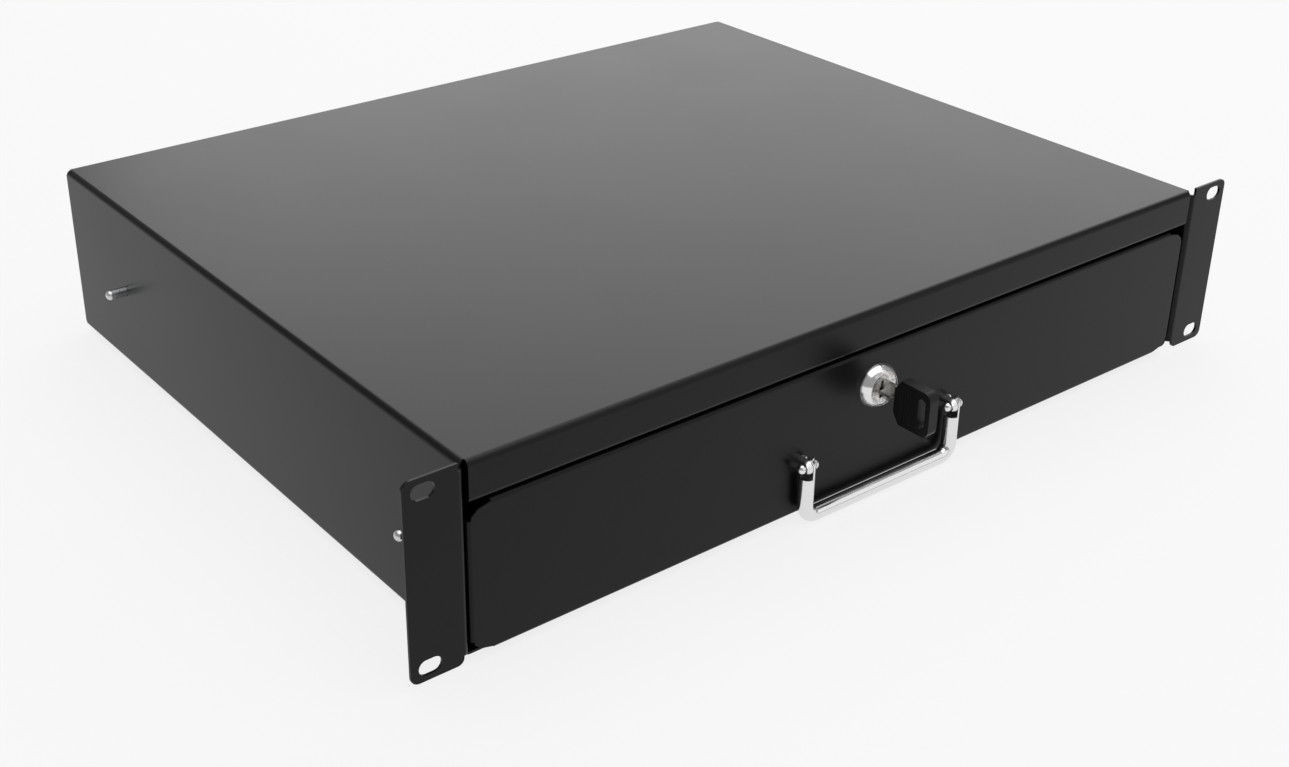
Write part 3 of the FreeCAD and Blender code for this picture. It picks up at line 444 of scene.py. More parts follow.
def make_finishes(scene):
    """One material for each of the record's slots, named after it."""
    paint, metal = scene.rackdrawer_paint, scene.rackdrawer_metal
    return {
        "case_paint": powder_coat(FINISH + "case_paint", paint),
        "drawer_paint": powder_coat(FINISH + "drawer_paint", paint),
        "chrome": chrome_plate(FINISH + "chrome", metal),
        "zinc_steel": zinc_plate(FINISH + "zinc_steel", metal),
        "ball_steel": polished_steel(FINISH + "ball_steel", metal),
        "black_screw": black_zinc(FINISH + "black_screw"),
        "nickel": satin_nickel(FINISH + "nickel", metal.nickel),
        "worn_nickel": satin_nickel(FINISH + "worn_nickel", scaled(metal.nickel, 0.8)),
        "wafer_brass": stamped_brass(FINISH + "wafer_brass", metal),
        "key_plastic": moulded_plastic(FINISH + "key_plastic"),
        "bumper_rubber": bumper_rubber(FINISH + "bumper_rubber"),
    }


class RACKDRAWER_OT_finishes(bpy.types.Operator):
    """Makes the finishes and gives each CAD node its own"""

    bl_idname = "rackdrawer.finishes"
    bl_label = "Finishes"

    def execute(self, context):
        finishes = make_finishes(context.scene)
        for row in frame["record"]["subparts"]:
            node = frame["nodes"][row["node"]]
            node.data.materials.clear()
            node.data.materials.append(finishes[row["material_slot"]])
        return {"FINISHED"}


# ---- modelling helpers
def begin(kind, name, stretch=(1, 1, 1), **values):
    """Adds a primitive alone, its place in its mesh, and opens it in edit mode."""
    if bpy.context.mode != "OBJECT":
        bpy.ops.object.mode_set(mode="OBJECT")
    bpy.ops.object.select_all(action="DESELECT")
    getattr(bpy.ops.mesh, "primitive_" + kind + "_add")(**values)
    piece = bpy.context.object
    piece.name = piece.data.name = name
    piece.scale = stretch
    bpy.ops.object.transform_apply(location=True, rotation=True, scale=True)
    bpy.ops.object.mode_set(mode="EDIT")
    return piece


def pick(piece, kind, x=None, y=None, z=None):
    """Selects the parts of one kind that lie whole within the given ranges, or at the given places."""
    limits = [(value, value) if isinstance(value, float) else value for value in (x, y, z)]
    bpy.ops.mesh.select_mode(type=kind)
    bpy.ops.mesh.select_all(action="DESELECT")
    mesh = bmesh.from_edit_mesh(piece.data)
    within = {vert for vert in mesh.verts if all(
        limit is None or min(limit) - NEAR <= place <= max(limit) + NEAR
        for limit, place in zip(limits, vert.co))}
    if kind == "VERT":
        chosen = within
    else:
        parts = mesh.edges if kind == "EDGE" else mesh.faces
        chosen = [part for part in parts if within.issuperset(part.verts)]
    if not chosen:
        raise RuntimeError("nothing to select on " + piece.name)
    for part in chosen:
        part.select_set(True)
    bmesh.update_edit_mesh(piece.data)


def fold(centre, axis, degrees, steps):
    """Sweeps what is selected round a point, right-handed about the axis."""
    bpy.ops.mesh.spin(steps=steps, angle=-math.radians(degrees), center=centre, axis=axis)


def extend(x=0.0, y=0.0, z=0.0):
    bpy.ops.mesh.extrude_region_move(TRANSFORM_OT_translate={"value": (x, y, z)})


def split(point, normal):
    bpy.ops.mesh.select_all(action="SELECT")
    bpy.ops.mesh.bisect(plane_co=point, plane_no=normal)


def face_outwards(piece, towards=None):
    """Merges doubles and turns the faces outwards.

    On an open shell the face furthest along a direction decides.
    """
    bpy.ops.mesh.select_all(action="SELECT")
    bpy.ops.mesh.remove_doubles(threshold=NEAR)
    bpy.ops.mesh.normals_make_consistent(inside=False)
    if towards is None:
        return
    mesh = bmesh.from_edit_mesh(piece.data)
    outermost = max(mesh.faces, key=lambda face: face.calc_center_median().dot(towards))
    if outermost.normal.dot(towards) < 0:
        bpy.ops.mesh.flip_normals()


def finish_edit(piece):
    if bpy.context.mode != "OBJECT":
        bpy.ops.object.mode_set(mode="OBJECT")
    bpy.ops.object.select_all(action="DESELECT")
    piece.select_set(True)
    bpy.context.view_layer.objects.active = piece


def modify(piece, kind, **values):
    """Adds a modifier with the given values and applies it."""
    finish_edit(piece)
    modifier = piece.modifiers.new(kind.title(), kind)
    for name, value in values.items():
        setattr(modifier, name, value)
    bpy.ops.object.modifier_apply(modifier=modifier.name)


def soften(piece, width, angle=38, segments=2):
    """Rounds the sharp edges by a small width and shades the rest smooth."""
    modify(piece, "BEVEL", width=width, segments=segments, limit_method="ANGLE",
           angle_limit=math.radians(angle))
    bpy.ops.object.shade_smooth_by_angle(angle=math.radians(angle))
    modify(piece, "WEIGHTED_NORMAL", keep_sharp=True, weight=80)


def join(pieces):
    finish_edit(pieces[0])
    for piece in pieces[1:]:
        piece.select_set(True)
    bpy.ops.object.join()
    return pieces[0]


def combine(piece, cutters, operation="DIFFERENCE"):
    """Cuts, joins or intersects a piece with closed cutters, which are then removed."""
    cutter = join(cutters)
    modify(piece, "BOOLEAN", operation=operation, solver="EXACT", object=cutter)
    bpy.data.objects.remove(cutter)


def drill(place, axis, radius, length):
    """Cylinder centred on a place, as a cutter."""
    turn = Vector((0, 0, 1)).rotation_difference(Vector(axis)).to_euler()
    cutter = begin("cylinder", "cutter", vertices=32, radius=radius, depth=length,
                   location=place, rotation=turn)
    finish_edit(cutter)
    return cutter


def mill(low, high):
    """Block between two corners, as a cutter."""
    low, high = Vector(low), Vector(high)
    cutter = begin("cube", "cutter", size=1, location=(low + high) / 2, stretch=high - low)
    finish_edit(cutter)
    return cutter


def turned(name, place, axis, rings, vertices=48):
    """Solid turned about an axis: each ring is its distance along the axis and its radius."""
    axis = Vector(axis)
    turn = Vector((0, 0, 1)).rotation_difference(axis).to_euler()
    (distance, radius), *following = rings
    piece = begin("circle", name, vertices=vertices, radius=radius, fill_type="NGON",
                  location=Vector(place) + axis * distance, rotation=turn)
    bpy.ops.mesh.select_mode(type="FACE")
    bpy.ops.mesh.select_all(action="SELECT")
    across = [1 if abs(part) < 0.5 else 0 for part in axis]
    for next_distance, next_radius in following:
        extend(*(axis * (next_distance - distance)))
        ratio = next_radius / radius
        bpy.ops.transform.resize(
            value=[ratio if part else 1 for part in across],
            center_override=Vector(place) + axis * next_distance)
        distance, radius = next_distance, next_radius
    face_outwards(piece)
    finish_edit(piece)
    return piece


def arc_rings(middle, middle_radius, radius, first, last, steps):
    """Rings along an arc of a turned outline; angles in degrees, 0 outwards and 90 along the axis."""
    angles = [math.radians(first + (last - first) * i / steps) for i in range(steps + 1)]
    return [(middle + radius * math.sin(a), middle_radius + radius * math.cos(a)) for a in angles]


def dome_rings(base, radius, height):
    """Rings of a shallow dome of the given base radius and height."""
    ball = (radius ** 2 + height ** 2) / (2 * height)
    edge = math.degrees(math.asin((ball - height) / ball))
    return arc_rings(base + height - ball, 0, ball, edge, 86, 6)


def place_piece(piece, body, slot, *nodes):
    """Hands a finished piece to the frame, hides the CAD nodes it stands for and gives it the finish of the
    given slot.
    """
    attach(piece, body)
    if nodes:
        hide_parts(*nodes)
    piece.data.materials.clear()
    piece.data.materials.append(bpy.data.materials[FINISH + slot])


# ---- case
def case_sizes(sheet):
    low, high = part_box("case_wrap")
    wall = high.x - sheet.ear_reach
    top = high.z - sheet.top_drop
    bottom = low.z + sheet.bottom_rise
    rail_half = wall - sheet.thickness - sheet.rail_end_gap
    return low, high, wall, top, bottom, rail_half


def fold_side(piece, side, sheet):
    """Wall, bottom flange, ear and rear flange on one side of the case's top."""
    low, high, wall, top, bottom, _ = case_sizes(sheet)
    outer = sheet.bend + sheet.thickness
    turn = 90 * side
    front = low.y + sheet.rail_recess + outer
    back = high.y - outer
    edge_x = side * (wall - outer)
    pick(piece, "EDGE", x=edge_x)
    fold((edge_x, 0, top - outer), (0, 1, 0), turn, sheet.fold_steps)
    extend(z=bottom - top + 2 * outer)
    fold((edge_x, 0, bottom + outer), (0, 1, 0), turn, sheet.fold_steps)
    extend(x=-side * (sheet.bottom_flange - outer))
    pick(piece, "EDGE", x=side * wall, y=front)
    extend(y=sheet.bend - front)
    fold((side * (wall + sheet.bend), sheet.bend, 0), (0, 0, 1), turn, sheet.fold_steps)
    extend(x=side * (sheet.ear_reach - sheet.bend))
    ear = (side * (wall + sheet.bend), side * high.x)
    pick(piece, "EDGE", x=ear, y=0.0, z=top - outer)
    extend(z=high.z - top + outer)
    pick(piece, "EDGE", x=ear, y=0.0, z=bottom + outer)
    extend(z=low.z - bottom - outer)
    for z in (low.z, high.z):
        pick(piece, "VERT", x=side * high.x, z=z)
        bpy.ops.mesh.bevel(affect="VERTICES", offset=sheet.ear_outer_corner, segments=8)
    pick(piece, "VERT", x=ear[0], y=0.0, z=low.z)
    bpy.ops.mesh.bevel(affect="VERTICES", offset=sheet.ear_inner_corner, segments=8)
    pick(piece, "EDGE", x=side * wall, y=back)
    fold((edge_x, back, 0), (0, 0, 1), turn, sheet.fold_steps)
    extend(x=-side * (sheet.rear_flange - outer))


def fold_rail(piece, sheet):
    """Front rail with its lip, and the flange at the back of the top."""
    low, high, _, top, _, rail_half = case_sizes(sheet)
    outer = sheet.bend + sheet.thickness
    across = (-rail_half, rail_half)
    front, back = low.y + sheet.rail_recess + outer, high.y - outer
    rail_bottom = top - sheet.rail_height
    pick(piece, "EDGE", x=across, y=front, z=top)
    fold((0, front, top - outer), (1, 0, 0), 90, sheet.fold_steps)
    extend(z=2 * outer - sheet.rail_height)
    fold((0, front, rail_bottom + outer), (1, 0, 0), 90, sheet.fold_steps)
    extend(y=sheet.rail_depth - 2 * outer)
    fold((0, front - 2 * outer + sheet.rail_depth, rail_bottom + outer), (1, 0, 0), 90, sheet.fold_steps)
    extend(z=sheet.rail_lip - outer)
    pick(piece, "EDGE", x=across, y=back, z=top)
    fold((0, back, top - outer), (1, 0, 0), -90, sheet.fold_steps)
    extend(z=outer - sheet.rear_flange)


def slot_cutter(place, size, depth, upright=False):
    """Round-ended cutter lying along X, or standing along Z and cutting along X."""
    length, width = size
    step = 2 * math.pi / 32
    along = Vector((0, 0, 1)) if upright else Vector((1, 0, 0))
    name = "z" if upright else "x"
    start = place[2] if upright else place[0]
    cutter = begin("cylinder", "cutter", vertices=32, radius=width / 2, depth=depth, location=place,
                   rotation=(math.pi / 2, step / 2, math.pi / 2 if upright else 0))
    for side in (-1, 1):
        pick(cutter, "VERT", **{name: (start, start + side * width)})
        bpy.ops.transform.translate(value=along * side * (length - width) / 2)
    finish_edit(cutter)
    return cutter


def solid_places(node):
    """Middle of the box of each loose solid in a CAD node."""
    mesh = bmesh.new()
    mesh.from_mesh(frame["nodes"][node].data)
    bmesh.ops.remove_doubles(mesh, verts=mesh.verts, dist=NEAR)
    left = set(mesh.verts)
    places = []
    while left:
        group, ahead = set(), [left.pop()]
        while ahead:
            vert = ahead.pop()
            group.add(vert.co.copy().freeze())
            for edge in vert.link_edges:
                other = edge.other_vert(vert)
                if other in left:
                    left.remove(other)
                    ahead.append(other)
        low = Vector([min(co[i] for co in group) for i in range(3)])
        high = Vector([max(co[i] for co in group) for i in range(3)])
        places.append((low + high) / 2)
    mesh.free()
    return places


class RACKDRAWER_OT_case(bpy.types.Operator):
    """Folds the case from one sheet and cuts its slots and holes"""

    bl_idname = "rackdrawer.case"
    bl_label = "Case"

    def execute(self, context):
        sheet = context.scene.rackdrawer_sheet
        low, high, wall, top, bottom, rail_half = case_sizes(sheet)
        outer = sheet.bend + sheet.thickness
        front, back = low.y + sheet.rail_recess + outer, high.y - outer
        piece = begin("plane", "case_shell", size=1, location=(0, (front + back) / 2, top),
                      stretch=(2 * (wall - outer), back - front, 1))
        for side in (-1, 1):
            split((side * rail_half, 0, 0), (1, 0, 0))
        for side in (-1, 1):
            fold_side(piece, side, sheet)
        fold_rail(piece, sheet)
        face_outwards(piece, Vector((0, 0, 1)))
        modify(piece, "SOLIDIFY", thickness=sheet.thickness, offset=-1, use_even_offset=True)
        cutters = []
        for side in (-1, 1):
            slot_x = side * (high.x - sheet.slot_inset[0])
            for slot_z in (low.z + sheet.slot_inset[1], high.z - sheet.slot_inset[1]):
                cutters.append(slot_cutter((slot_x, 0, slot_z), sheet.slot_size, 6 * sheet.thickness))
        for bolt in solid_places("slide_bolts"):
            cutters.append(drill(bolt, (1, 0, 0), sheet.bolt_hole, 12 * sheet.thickness))
        for screw in solid_places("rear_screws"):
            cutters.append(drill((screw.x, high.y - sheet.thickness / 2, screw.z), (0, 1, 0),
                                 sheet.rivet_hole, 2 * sheet.thickness))
        for rivet in solid_places("bottom_rivets"):
            if abs(rivet.x) > rail_half - sheet.bottom_flange:
                cutters.append(drill((rivet.x, rivet.y, bottom + sheet.thickness / 2), (0, 0, 1),
                                     sheet.rivet_hole, 2 * sheet.thickness))
        combine(piece, cutters)
        soften(piece, sheet.edge)
        place_piece(piece, "case", "case_paint", "case_wrap")
        return {"FINISHED"}


# ---- drawer front
class RACKDRAWER_OT_front(bpy.types.Operator):
    """Folds the drawer front, with its notched corners, and cuts its holes"""

    bl_idname = "rackdrawer.front"
    bl_label = "Drawer front"

    def execute(self, context):
        sheet, front = context.scene.rackdrawer_sheet, context.scene.rackdrawer_front
        low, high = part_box("drawer_front")
        outer = front.bend + sheet.thickness
        middle = (low.z + high.z) / 2
        half_x, half_z = high.x - outer, (high.z - low.z) / 2 - outer
        piece = begin("plane", "front_pan", size=1, location=(0, low.y, middle),
                      rotation=(math.pi / 2, 0, 0), stretch=(2 * half_x, 2 * half_z, 1))
        run = high.x - front.notch[0]
        step = half_z + outer - front.notch[1]
        slope_x = high.x - front.chamfer[0]
        slope_top = step - front.notch_fall
        side_run = slope_top - front.chamfer[1]
        slope_end = side_run + front.chamfer[1] * outer / front.chamfer[0]
        tab = step - half_z
        for side in (-1, 1):
            for x in (run, slope_x):
                split((side * x, 0, 0), (1, 0, 0))
            split((0, 0, middle + side * side_run), (0, 0, 1))
        for side_x in (-1, 1):
            for side_z in (-1, 1):
                for x, z in ((slope_x, slope_top), (half_x, slope_end)):
                    pick(piece, "VERT", x=side_x * x, z=middle + side_z * half_z)
                    bpy.ops.transform.translate(value=(0, 0, side_z * (z - tab - half_z)))
                pick(piece, "EDGE", x=(side_x * run, side_x * half_x),
                     z=(middle + side_z * (side_run + 0.1 * MM), middle + side_z * half_z))
                extend(z=side_z * tab)
        depth = high.y - low.y - outer
        for side in (-1, 1):
            pick(piece, "EDGE", x=side * half_x, z=(middle - side_run, middle + side_run))
            fold((side * half_x, low.y + outer, 0), (0, 0, 1), 90 * side, sheet.fold_steps)
            extend(y=depth)
            pick(piece, "EDGE", x=(-run, run), z=middle + side * half_z)
            fold((0, low.y + outer, middle + side * half_z), (1, 0, 0), -90 * side, sheet.fold_steps)
            extend(y=depth)
        face_outwards(piece, Vector((0, -1, 0)))
        modify(piece, "SOLIDIFY", thickness=sheet.thickness, offset=-1, use_even_offset=True)
        lock_low, lock_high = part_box("lock_body")
        lock = (lock_low + lock_high) / 2
        lock.y = low.y
        hole = drill(lock, (0, 1, 0), front.lock_hole, 4 * sheet.thickness)
        half_flats = Vector((front.lock_flats / 2, 6 * sheet.thickness, 2 * front.lock_hole))
        combine(hole, [mill(lock - half_flats, lock + half_flats)], "INTERSECT")
        cutters = [hole]
        for name in ("handle_post_left", "handle_post_right"):
            post_low, post_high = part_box(name)
            post = (post_low + post_high) / 2
            cutters.append(drill((post.x, low.y, post.z), (0, 1, 0), front.post_hole, 4 * sheet.thickness))
        combine(piece, cutters)
        soften(piece, sheet.edge)
        place_piece(piece, "drawer", "drawer_paint", "drawer_front")
        return {"FINISHED"}


# ---- handle
def round_over(piece, middle, radius, direction, squeeze):
    """Draws the selected end face out to a rounded eye, squeezed along one axis."""
    direction = Vector(direction)
    height, width, steps = 0.0, radius, 8
    for i in range(1, steps + 1):
        angle = math.radians(84 * i / steps)
        next_height, next_width = radius * math.sin(angle), radius * math.cos(angle)
        extend(*(direction * (next_height - height)))
        value = [1.0, 1.0, 1.0]
        value[squeeze] = next_width / width
        bpy.ops.transform.resize(value=value, center_override=Vector(middle) + direction * next_height)
        height, width = next_height, next_width


def bail_sizes():
    """Rod radius, places of the two arms, pivot's Y and Z, and height of the crossbar's middle."""
    low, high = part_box("bail_handle")
    radius = (high.y - low.y) / 2
    handle = bpy.context.scene.rackdrawer_handle
    arms = (low.x + radius, high.x - radius)
    return radius, arms, low.y + radius, high.z - radius, low.z + radius + handle.rise


class RACKDRAWER_OT_bail(bpy.types.Operator):
    """Bends the handle's rod and mills its half laps"""

    bl_idname = "rackdrawer.bail"
    bl_label = "Bail handle"

    def execute(self, context):
        handle = context.scene.rackdrawer_handle
        radius, (left, right), y, top, bottom = bail_sizes()
        piece = begin("circle", "bail_rod", vertices=48, radius=radius, fill_type="NOTHING",
                      location=(0, y, bottom), rotation=(0, math.pi / 2, 0))
        bpy.ops.mesh.select_all(action="SELECT")
        extend(x=right - handle.bend)
        fold((right - handle.bend, y, bottom + handle.bend), (0, 1, 0), -90, 14)
        extend(z=top - bottom - handle.bend)
        bpy.ops.mesh.edge_face_add()
        bpy.ops.mesh.select_mode(type="FACE")
        round_over(piece, (right, y, top), radius, (0, 0, 1), 1)
        face_outwards(piece, Vector((0, 0, -1)))
        modify(piece, "MIRROR", use_axis=(True, False, False), use_clip=True, merge_threshold=NEAR)
        finish_edit(piece)
        bpy.ops.object.mode_set(mode="EDIT")
        face_outwards(piece)
        finish_edit(piece)
        combine(piece, [mill((x - 2 * radius, y - 2 * radius, top - handle.shoulder),
                             (x + handle.lap_gap, y + 2 * radius, top + 2 * radius))
                        for x in (left, right)])
        combine(piece, [drill((x, y, top), (1, 0, 0), handle.pin_radius * 1.04, 4 * radius)
                        for x in (left, right)])
        soften(piece, ROD_EDGE)
        place_piece(piece, "bail", "chrome", "bail_handle")
        return {"FINISHED"}


class RACKDRAWER_OT_posts(bpy.types.Operator):
    """Turns the handle's posts and their pins, one of each beside the other"""

    bl_idname = "rackdrawer.posts"
    bl_label = "Posts and pins"

    def execute(self, context):
        handle = context.scene.rackdrawer_handle
        radius, places, y, z, _ = bail_sizes()
        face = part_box("drawer_front")[0].y
        for x, side in zip(places, ("left", "right")):
            make_post("post_" + side, x, y, z, face, radius, handle)
            place_piece(bpy.data.objects["post_" + side], "drawer", "chrome", "handle_post_" + side)
            make_pin("pin_" + side, x, y, z, radius, handle)
            place_piece(bpy.data.objects["pin_" + side], "drawer", "chrome", "pivot_pin_" + side)
        return {"FINISHED"}


def make_post(name, x, y, z, face, radius, handle):
    """Screwed end and neck, ending in a half-lapped eye."""
    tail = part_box("handle_post_left")[1].y - face
    rings = [(-tail, handle.stud * 0.8), (-tail + handle.stud * 0.3, handle.stud), (0, handle.stud),
             (0, radius), (face - y, radius)]
    piece = turned(name, (x, face, z), (0, -1, 0), rings)
    bpy.ops.object.mode_set(mode="EDIT")
    pick(piece, "FACE", y=y)
    round_over(piece, (x, y, z), radius, (0, -1, 0), 2)
    face_outwards(piece)
    lap = mill((x - handle.lap_gap, y - 2 * radius, z - 2 * radius),
               (x + 2 * radius, face - handle.collar - handle.lap_gap, z + 2 * radius))
    bore = drill((x, y, z), (1, 0, 0), handle.pin_radius, 4 * radius)
    finish_edit(piece)
    combine(piece, [lap])
    combine(piece, [bore])
    soften(piece, FINE_EDGE)


def make_pin(name, x, y, z, radius, handle):
    """Rivet with a round head at each end."""
    head_radius, head_height = handle.pin_head
    head = dome_rings(radius, head_radius, head_height)
    rings = [(-distance, ring) for distance, ring in head[::-1]]
    rings += [(-radius, handle.pin_radius), (radius, handle.pin_radius)] + head
    piece = turned(name, (x, y, z), (1, 0, 0), rings)
    soften(piece, THIN_EDGE, angle=50)


# ---- lock
class RACKDRAWER_OT_lock(bpy.types.Operator):
    """Turns the lock's bezel and barrel"""

    bl_idname = "rackdrawer.lock"
    bl_label = "Lock"

    def execute(self, context):
        lock = context.scene.rackdrawer_lock
        low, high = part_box("lock_body")
        radius = (high.z - low.z) / 2
        middle = (low.z + high.z) / 2
        axis_x = (low.x + high.x) / 2
        face = low.y + lock.bezel_height
        length = high.y - face
        recess_radius, recess_depth = lock.recess
        crown = math.radians(BEZEL_ARC[1])
        middle_height = lock.bezel_height - lock.bezel_lip - lock.bezel_round * math.sin(crown)
        middle_radius = recess_radius + lock.bezel_lip - lock.bezel_round * math.cos(crown)
        outline = arc_rings(middle_height, middle_radius, lock.bezel_round, *BEZEL_ARC, BEZEL_STEPS)
        rings = [(-length, lock.bore), (-length, lock.barrel_radius), (0, lock.barrel_radius),
                 (0, outline[0][1])]
        rings += outline + [(lock.bezel_height, recess_radius + BEZEL_LEVEL)]
        rings += [(lock.bezel_height, recess_radius), (lock.bezel_height - recess_depth, recess_radius),
                  (lock.bezel_height - recess_depth, lock.bore), (-length, lock.bore)]
        piece = turned("lock_case", (axis_x, face, middle), (0, -1, 0), rings, vertices=96)
        bpy.ops.object.mode_set(mode="EDIT")
        pick_ends(piece, 60)
        bpy.ops.mesh.delete(type="FACE")
        face_outwards(piece)
        flats = []
        for side in (-1, 1):
            flats.append(mill((axis_x + side * lock.barrel_flats / 2, face, middle - 2 * radius),
                              (axis_x + side * 2 * radius, face + 2 * length, middle + 2 * radius)))
        finish_edit(piece)
        combine(piece, flats)
        soften(piece, ROD_EDGE)
        place_piece(piece, "drawer", "chrome", "lock_body")
        return {"FINISHED"}


def pick_ends(piece, sides):
    """Selects the faces that have more than so many sides."""
    bpy.ops.mesh.select_mode(type="FACE")
    bpy.ops.mesh.select_all(action="DESELECT")
    mesh = bmesh.from_edit_mesh(piece.data)
    for face in mesh.faces:
        if len(face.verts) > sides:
            face.select_set(True)
    bmesh.update_edit_mesh(piece.data)


class RACKDRAWER_OT_plug(bpy.types.Operator):
    """Turns the lock's plug and cuts its keyway round a ward"""

    bl_idname = "rackdrawer.plug"
    bl_label = "Lock plug"

    def execute(self, context):
        lock = context.scene.rackdrawer_lock
        low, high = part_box("lock_plug")
        head_radius = (high.z - low.z) / 2
        axis = (low + high) / 2
        face = low.y
        body_low, body_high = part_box("lock_body")
        head = body_low.y + lock.recess[1] - face - PLUG_PLAY
        core = lock.bore - PLUG_PLAY
        length = body_high.y - face
        rings = [(length, core - PLUG_CHAMFER), (length - PLUG_CHAMFER, core), (head, core),
                 (head, head_radius), (0, head_radius)]
        piece = turned("plug", (axis.x, face, axis.z), (0, 1, 0), rings, vertices=96)
        combine(piece, [mill((axis.x - PLUG_TAIL, body_high.y - MM, axis.z - PLUG_TAIL),
                             (axis.x + PLUG_TAIL, high.y, axis.z + PLUG_TAIL))], "UNION")
        width, height, depth = lock.keyway
        reach, ward_low, ward_high = lock.ward
        left, right = axis.x - width / 2, axis.x + width / 2
        for x, bottom, top in ((left, ward_high, height / 2), (left + reach, ward_low, ward_high),
                               (left, -height / 2, ward_low)):
            combine(piece, [mill((x, face - MM, axis.z + bottom), (right, face + depth, axis.z + top))])
        for reach, bottom, top in lock.side_cuts:
            combine(piece, [mill((left - reach, face - MM, axis.z + bottom),
                                 (axis.x, face + depth, axis.z + top))])
        soften(piece, FINE_EDGE)
        place_piece(piece, "lock_plug", "nickel", "lock_plug")
        return {"FINISHED"}


# ---- key
class RACKDRAWER_OT_key(bpy.types.Operator):
    """Cuts the key's blade and moulds its grip"""

    bl_idname = "rackdrawer.key"
    bl_label = "Key"

    def execute(self, context):
        make_blade(context.scene.rackdrawer_lock, context.scene.rackdrawer_key)
        make_grip(context.scene.rackdrawer_key)
        return {"FINISHED"}


def make_blade(lock, key):
    """Flat blade with a pointed nose, a groove for the ward and cuts along its lower edge."""
    low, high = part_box("key_blade")
    axis = (low + high) / 2
    nose = (high.z - low.z) / 2
    blade = mill(low, (high.x, high.y - nose, high.z))
    blade.name = blade.data.name = "blade"
    bpy.ops.object.mode_set(mode="EDIT")
    pick(blade, "FACE", y=high.y - nose)
    extend(y=nose)
    bpy.ops.transform.resize(
        value=(NOSE_SHARE[0], 1, NOSE_SHARE[1]), center_override=(axis.x, high.y, axis.z))
    face_outwards(blade)
    finish_edit(blade)
    reach, ward_low, ward_high = lock.ward
    combine(blade, [mill((low.x - MM, low.y - MM, axis.z + ward_low - lock.key_play),
                         (low.x + reach, high.y + MM, axis.z + ward_high + lock.key_play))])
    groove, groove_low, groove_high = BLADE_GROOVE
    combine(blade, [mill((high.x - groove, low.y - MM, axis.z + groove_low),
                         (high.x + MM, high.y + MM, axis.z + groove_high))])
    width, pitch = key.cut
    first = high.y - nose
    for i, depth in enumerate(CUT_DEPTHS):
        y = first - i * pitch
        combine(blade, [mill((low.x - MM, y - width / 2, low.z - MM),
                             (high.x + MM, y + width / 2, low.z + depth * MM))])
    soften(blade, THIN_EDGE)
    place_piece(blade, "key", "nickel", "key_blade")
    blade.data.materials[0] = bpy.data.materials[FINISH + "worn_nickel"]


def make_grip(key):
    """Grip with slopes towards the lock, rounded outer corners, thumb grooves and a slot for a ring."""
    low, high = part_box("key_bow")
    axis = (low + high) / 2
    length, height = key.shoulder
    grip = mill(low, (high.x, high.y - length, high.z))
    grip.name = grip.data.name = "grip"
    bpy.ops.object.mode_set(mode="EDIT")
    for z in (low.z, high.z):
        pick(grip, "EDGE", y=low.y, z=z)
        bpy.ops.mesh.bevel(offset=key.corner, segments=10)
    pick(grip, "FACE", y=high.y - length)
    extend(y=length)
    tall = high.z - low.z
    bpy.ops.transform.resize(
        value=(1, 1, (tall - 2 * height) / tall), center_override=(axis.x, high.y, axis.z))
    face_outwards(grip)
    finish_edit(grip)
    slot_length, slot_width, inset = key.ring_slot
    combine(grip, [slot_cutter((axis.x, low.y + inset, axis.z), (slot_length, slot_width),
                               2 * (high.x - low.x), upright=True)])
    for i in range(key.ridges):
        y = high.y - length - (i + GROOVE_START) * key.ridge_pitch
        for x in (low.x, high.x):
            combine(grip, [mill((x - key.ridge_depth, y, axis.z - GROOVE_REACH * tall),
                                (x + key.ridge_depth, y + key.ridge_pitch * GROOVE_WIDTH,
                                 axis.z + GROOVE_REACH * tall))])
    soften(grip, key.edge, angle=30, segments=3)
    place_piece(grip, "key", "key_plastic", "key_bow")


# ---- bolts
class RACKDRAWER_OT_bolts(bpy.types.Operator):
    """Turns the four slide bolts in their places"""

    bl_idname = "rackdrawer.bolts"
    bl_label = "Slide bolts"

    def execute(self, context):
        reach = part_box("slide_bolts")[1].x
        bolts = []
        for place in solid_places("slide_bolts"):
            side = 1 if place.x > 0 else -1
            length = 2 * (reach - abs(place.x))
            rings = [(0, BOLT_HEAD - BOLT_HEAD_CHAMFER), (BOLT_HEAD_CHAMFER, BOLT_HEAD),
                     (BOLT_HEAD_HEIGHT, BOLT_HEAD), (BOLT_HEAD_HEIGHT, BOLT_SHANK)]
            rings += arc_rings(length - BOLT_SHANK, 0, BOLT_SHANK, 0, 86, 10)
            start = (side * (reach - length), place.y, place.z)
            bolts.append(turned("bolt", start, (side, 0, 0), rings))
        piece = join(bolts)
        piece.name = piece.data.name = "bolts"
        soften(piece, FINE_EDGE, angle=50)
        place_piece(piece, "case", "zinc_steel", "slide_bolts")
        return {"FINISHED"}


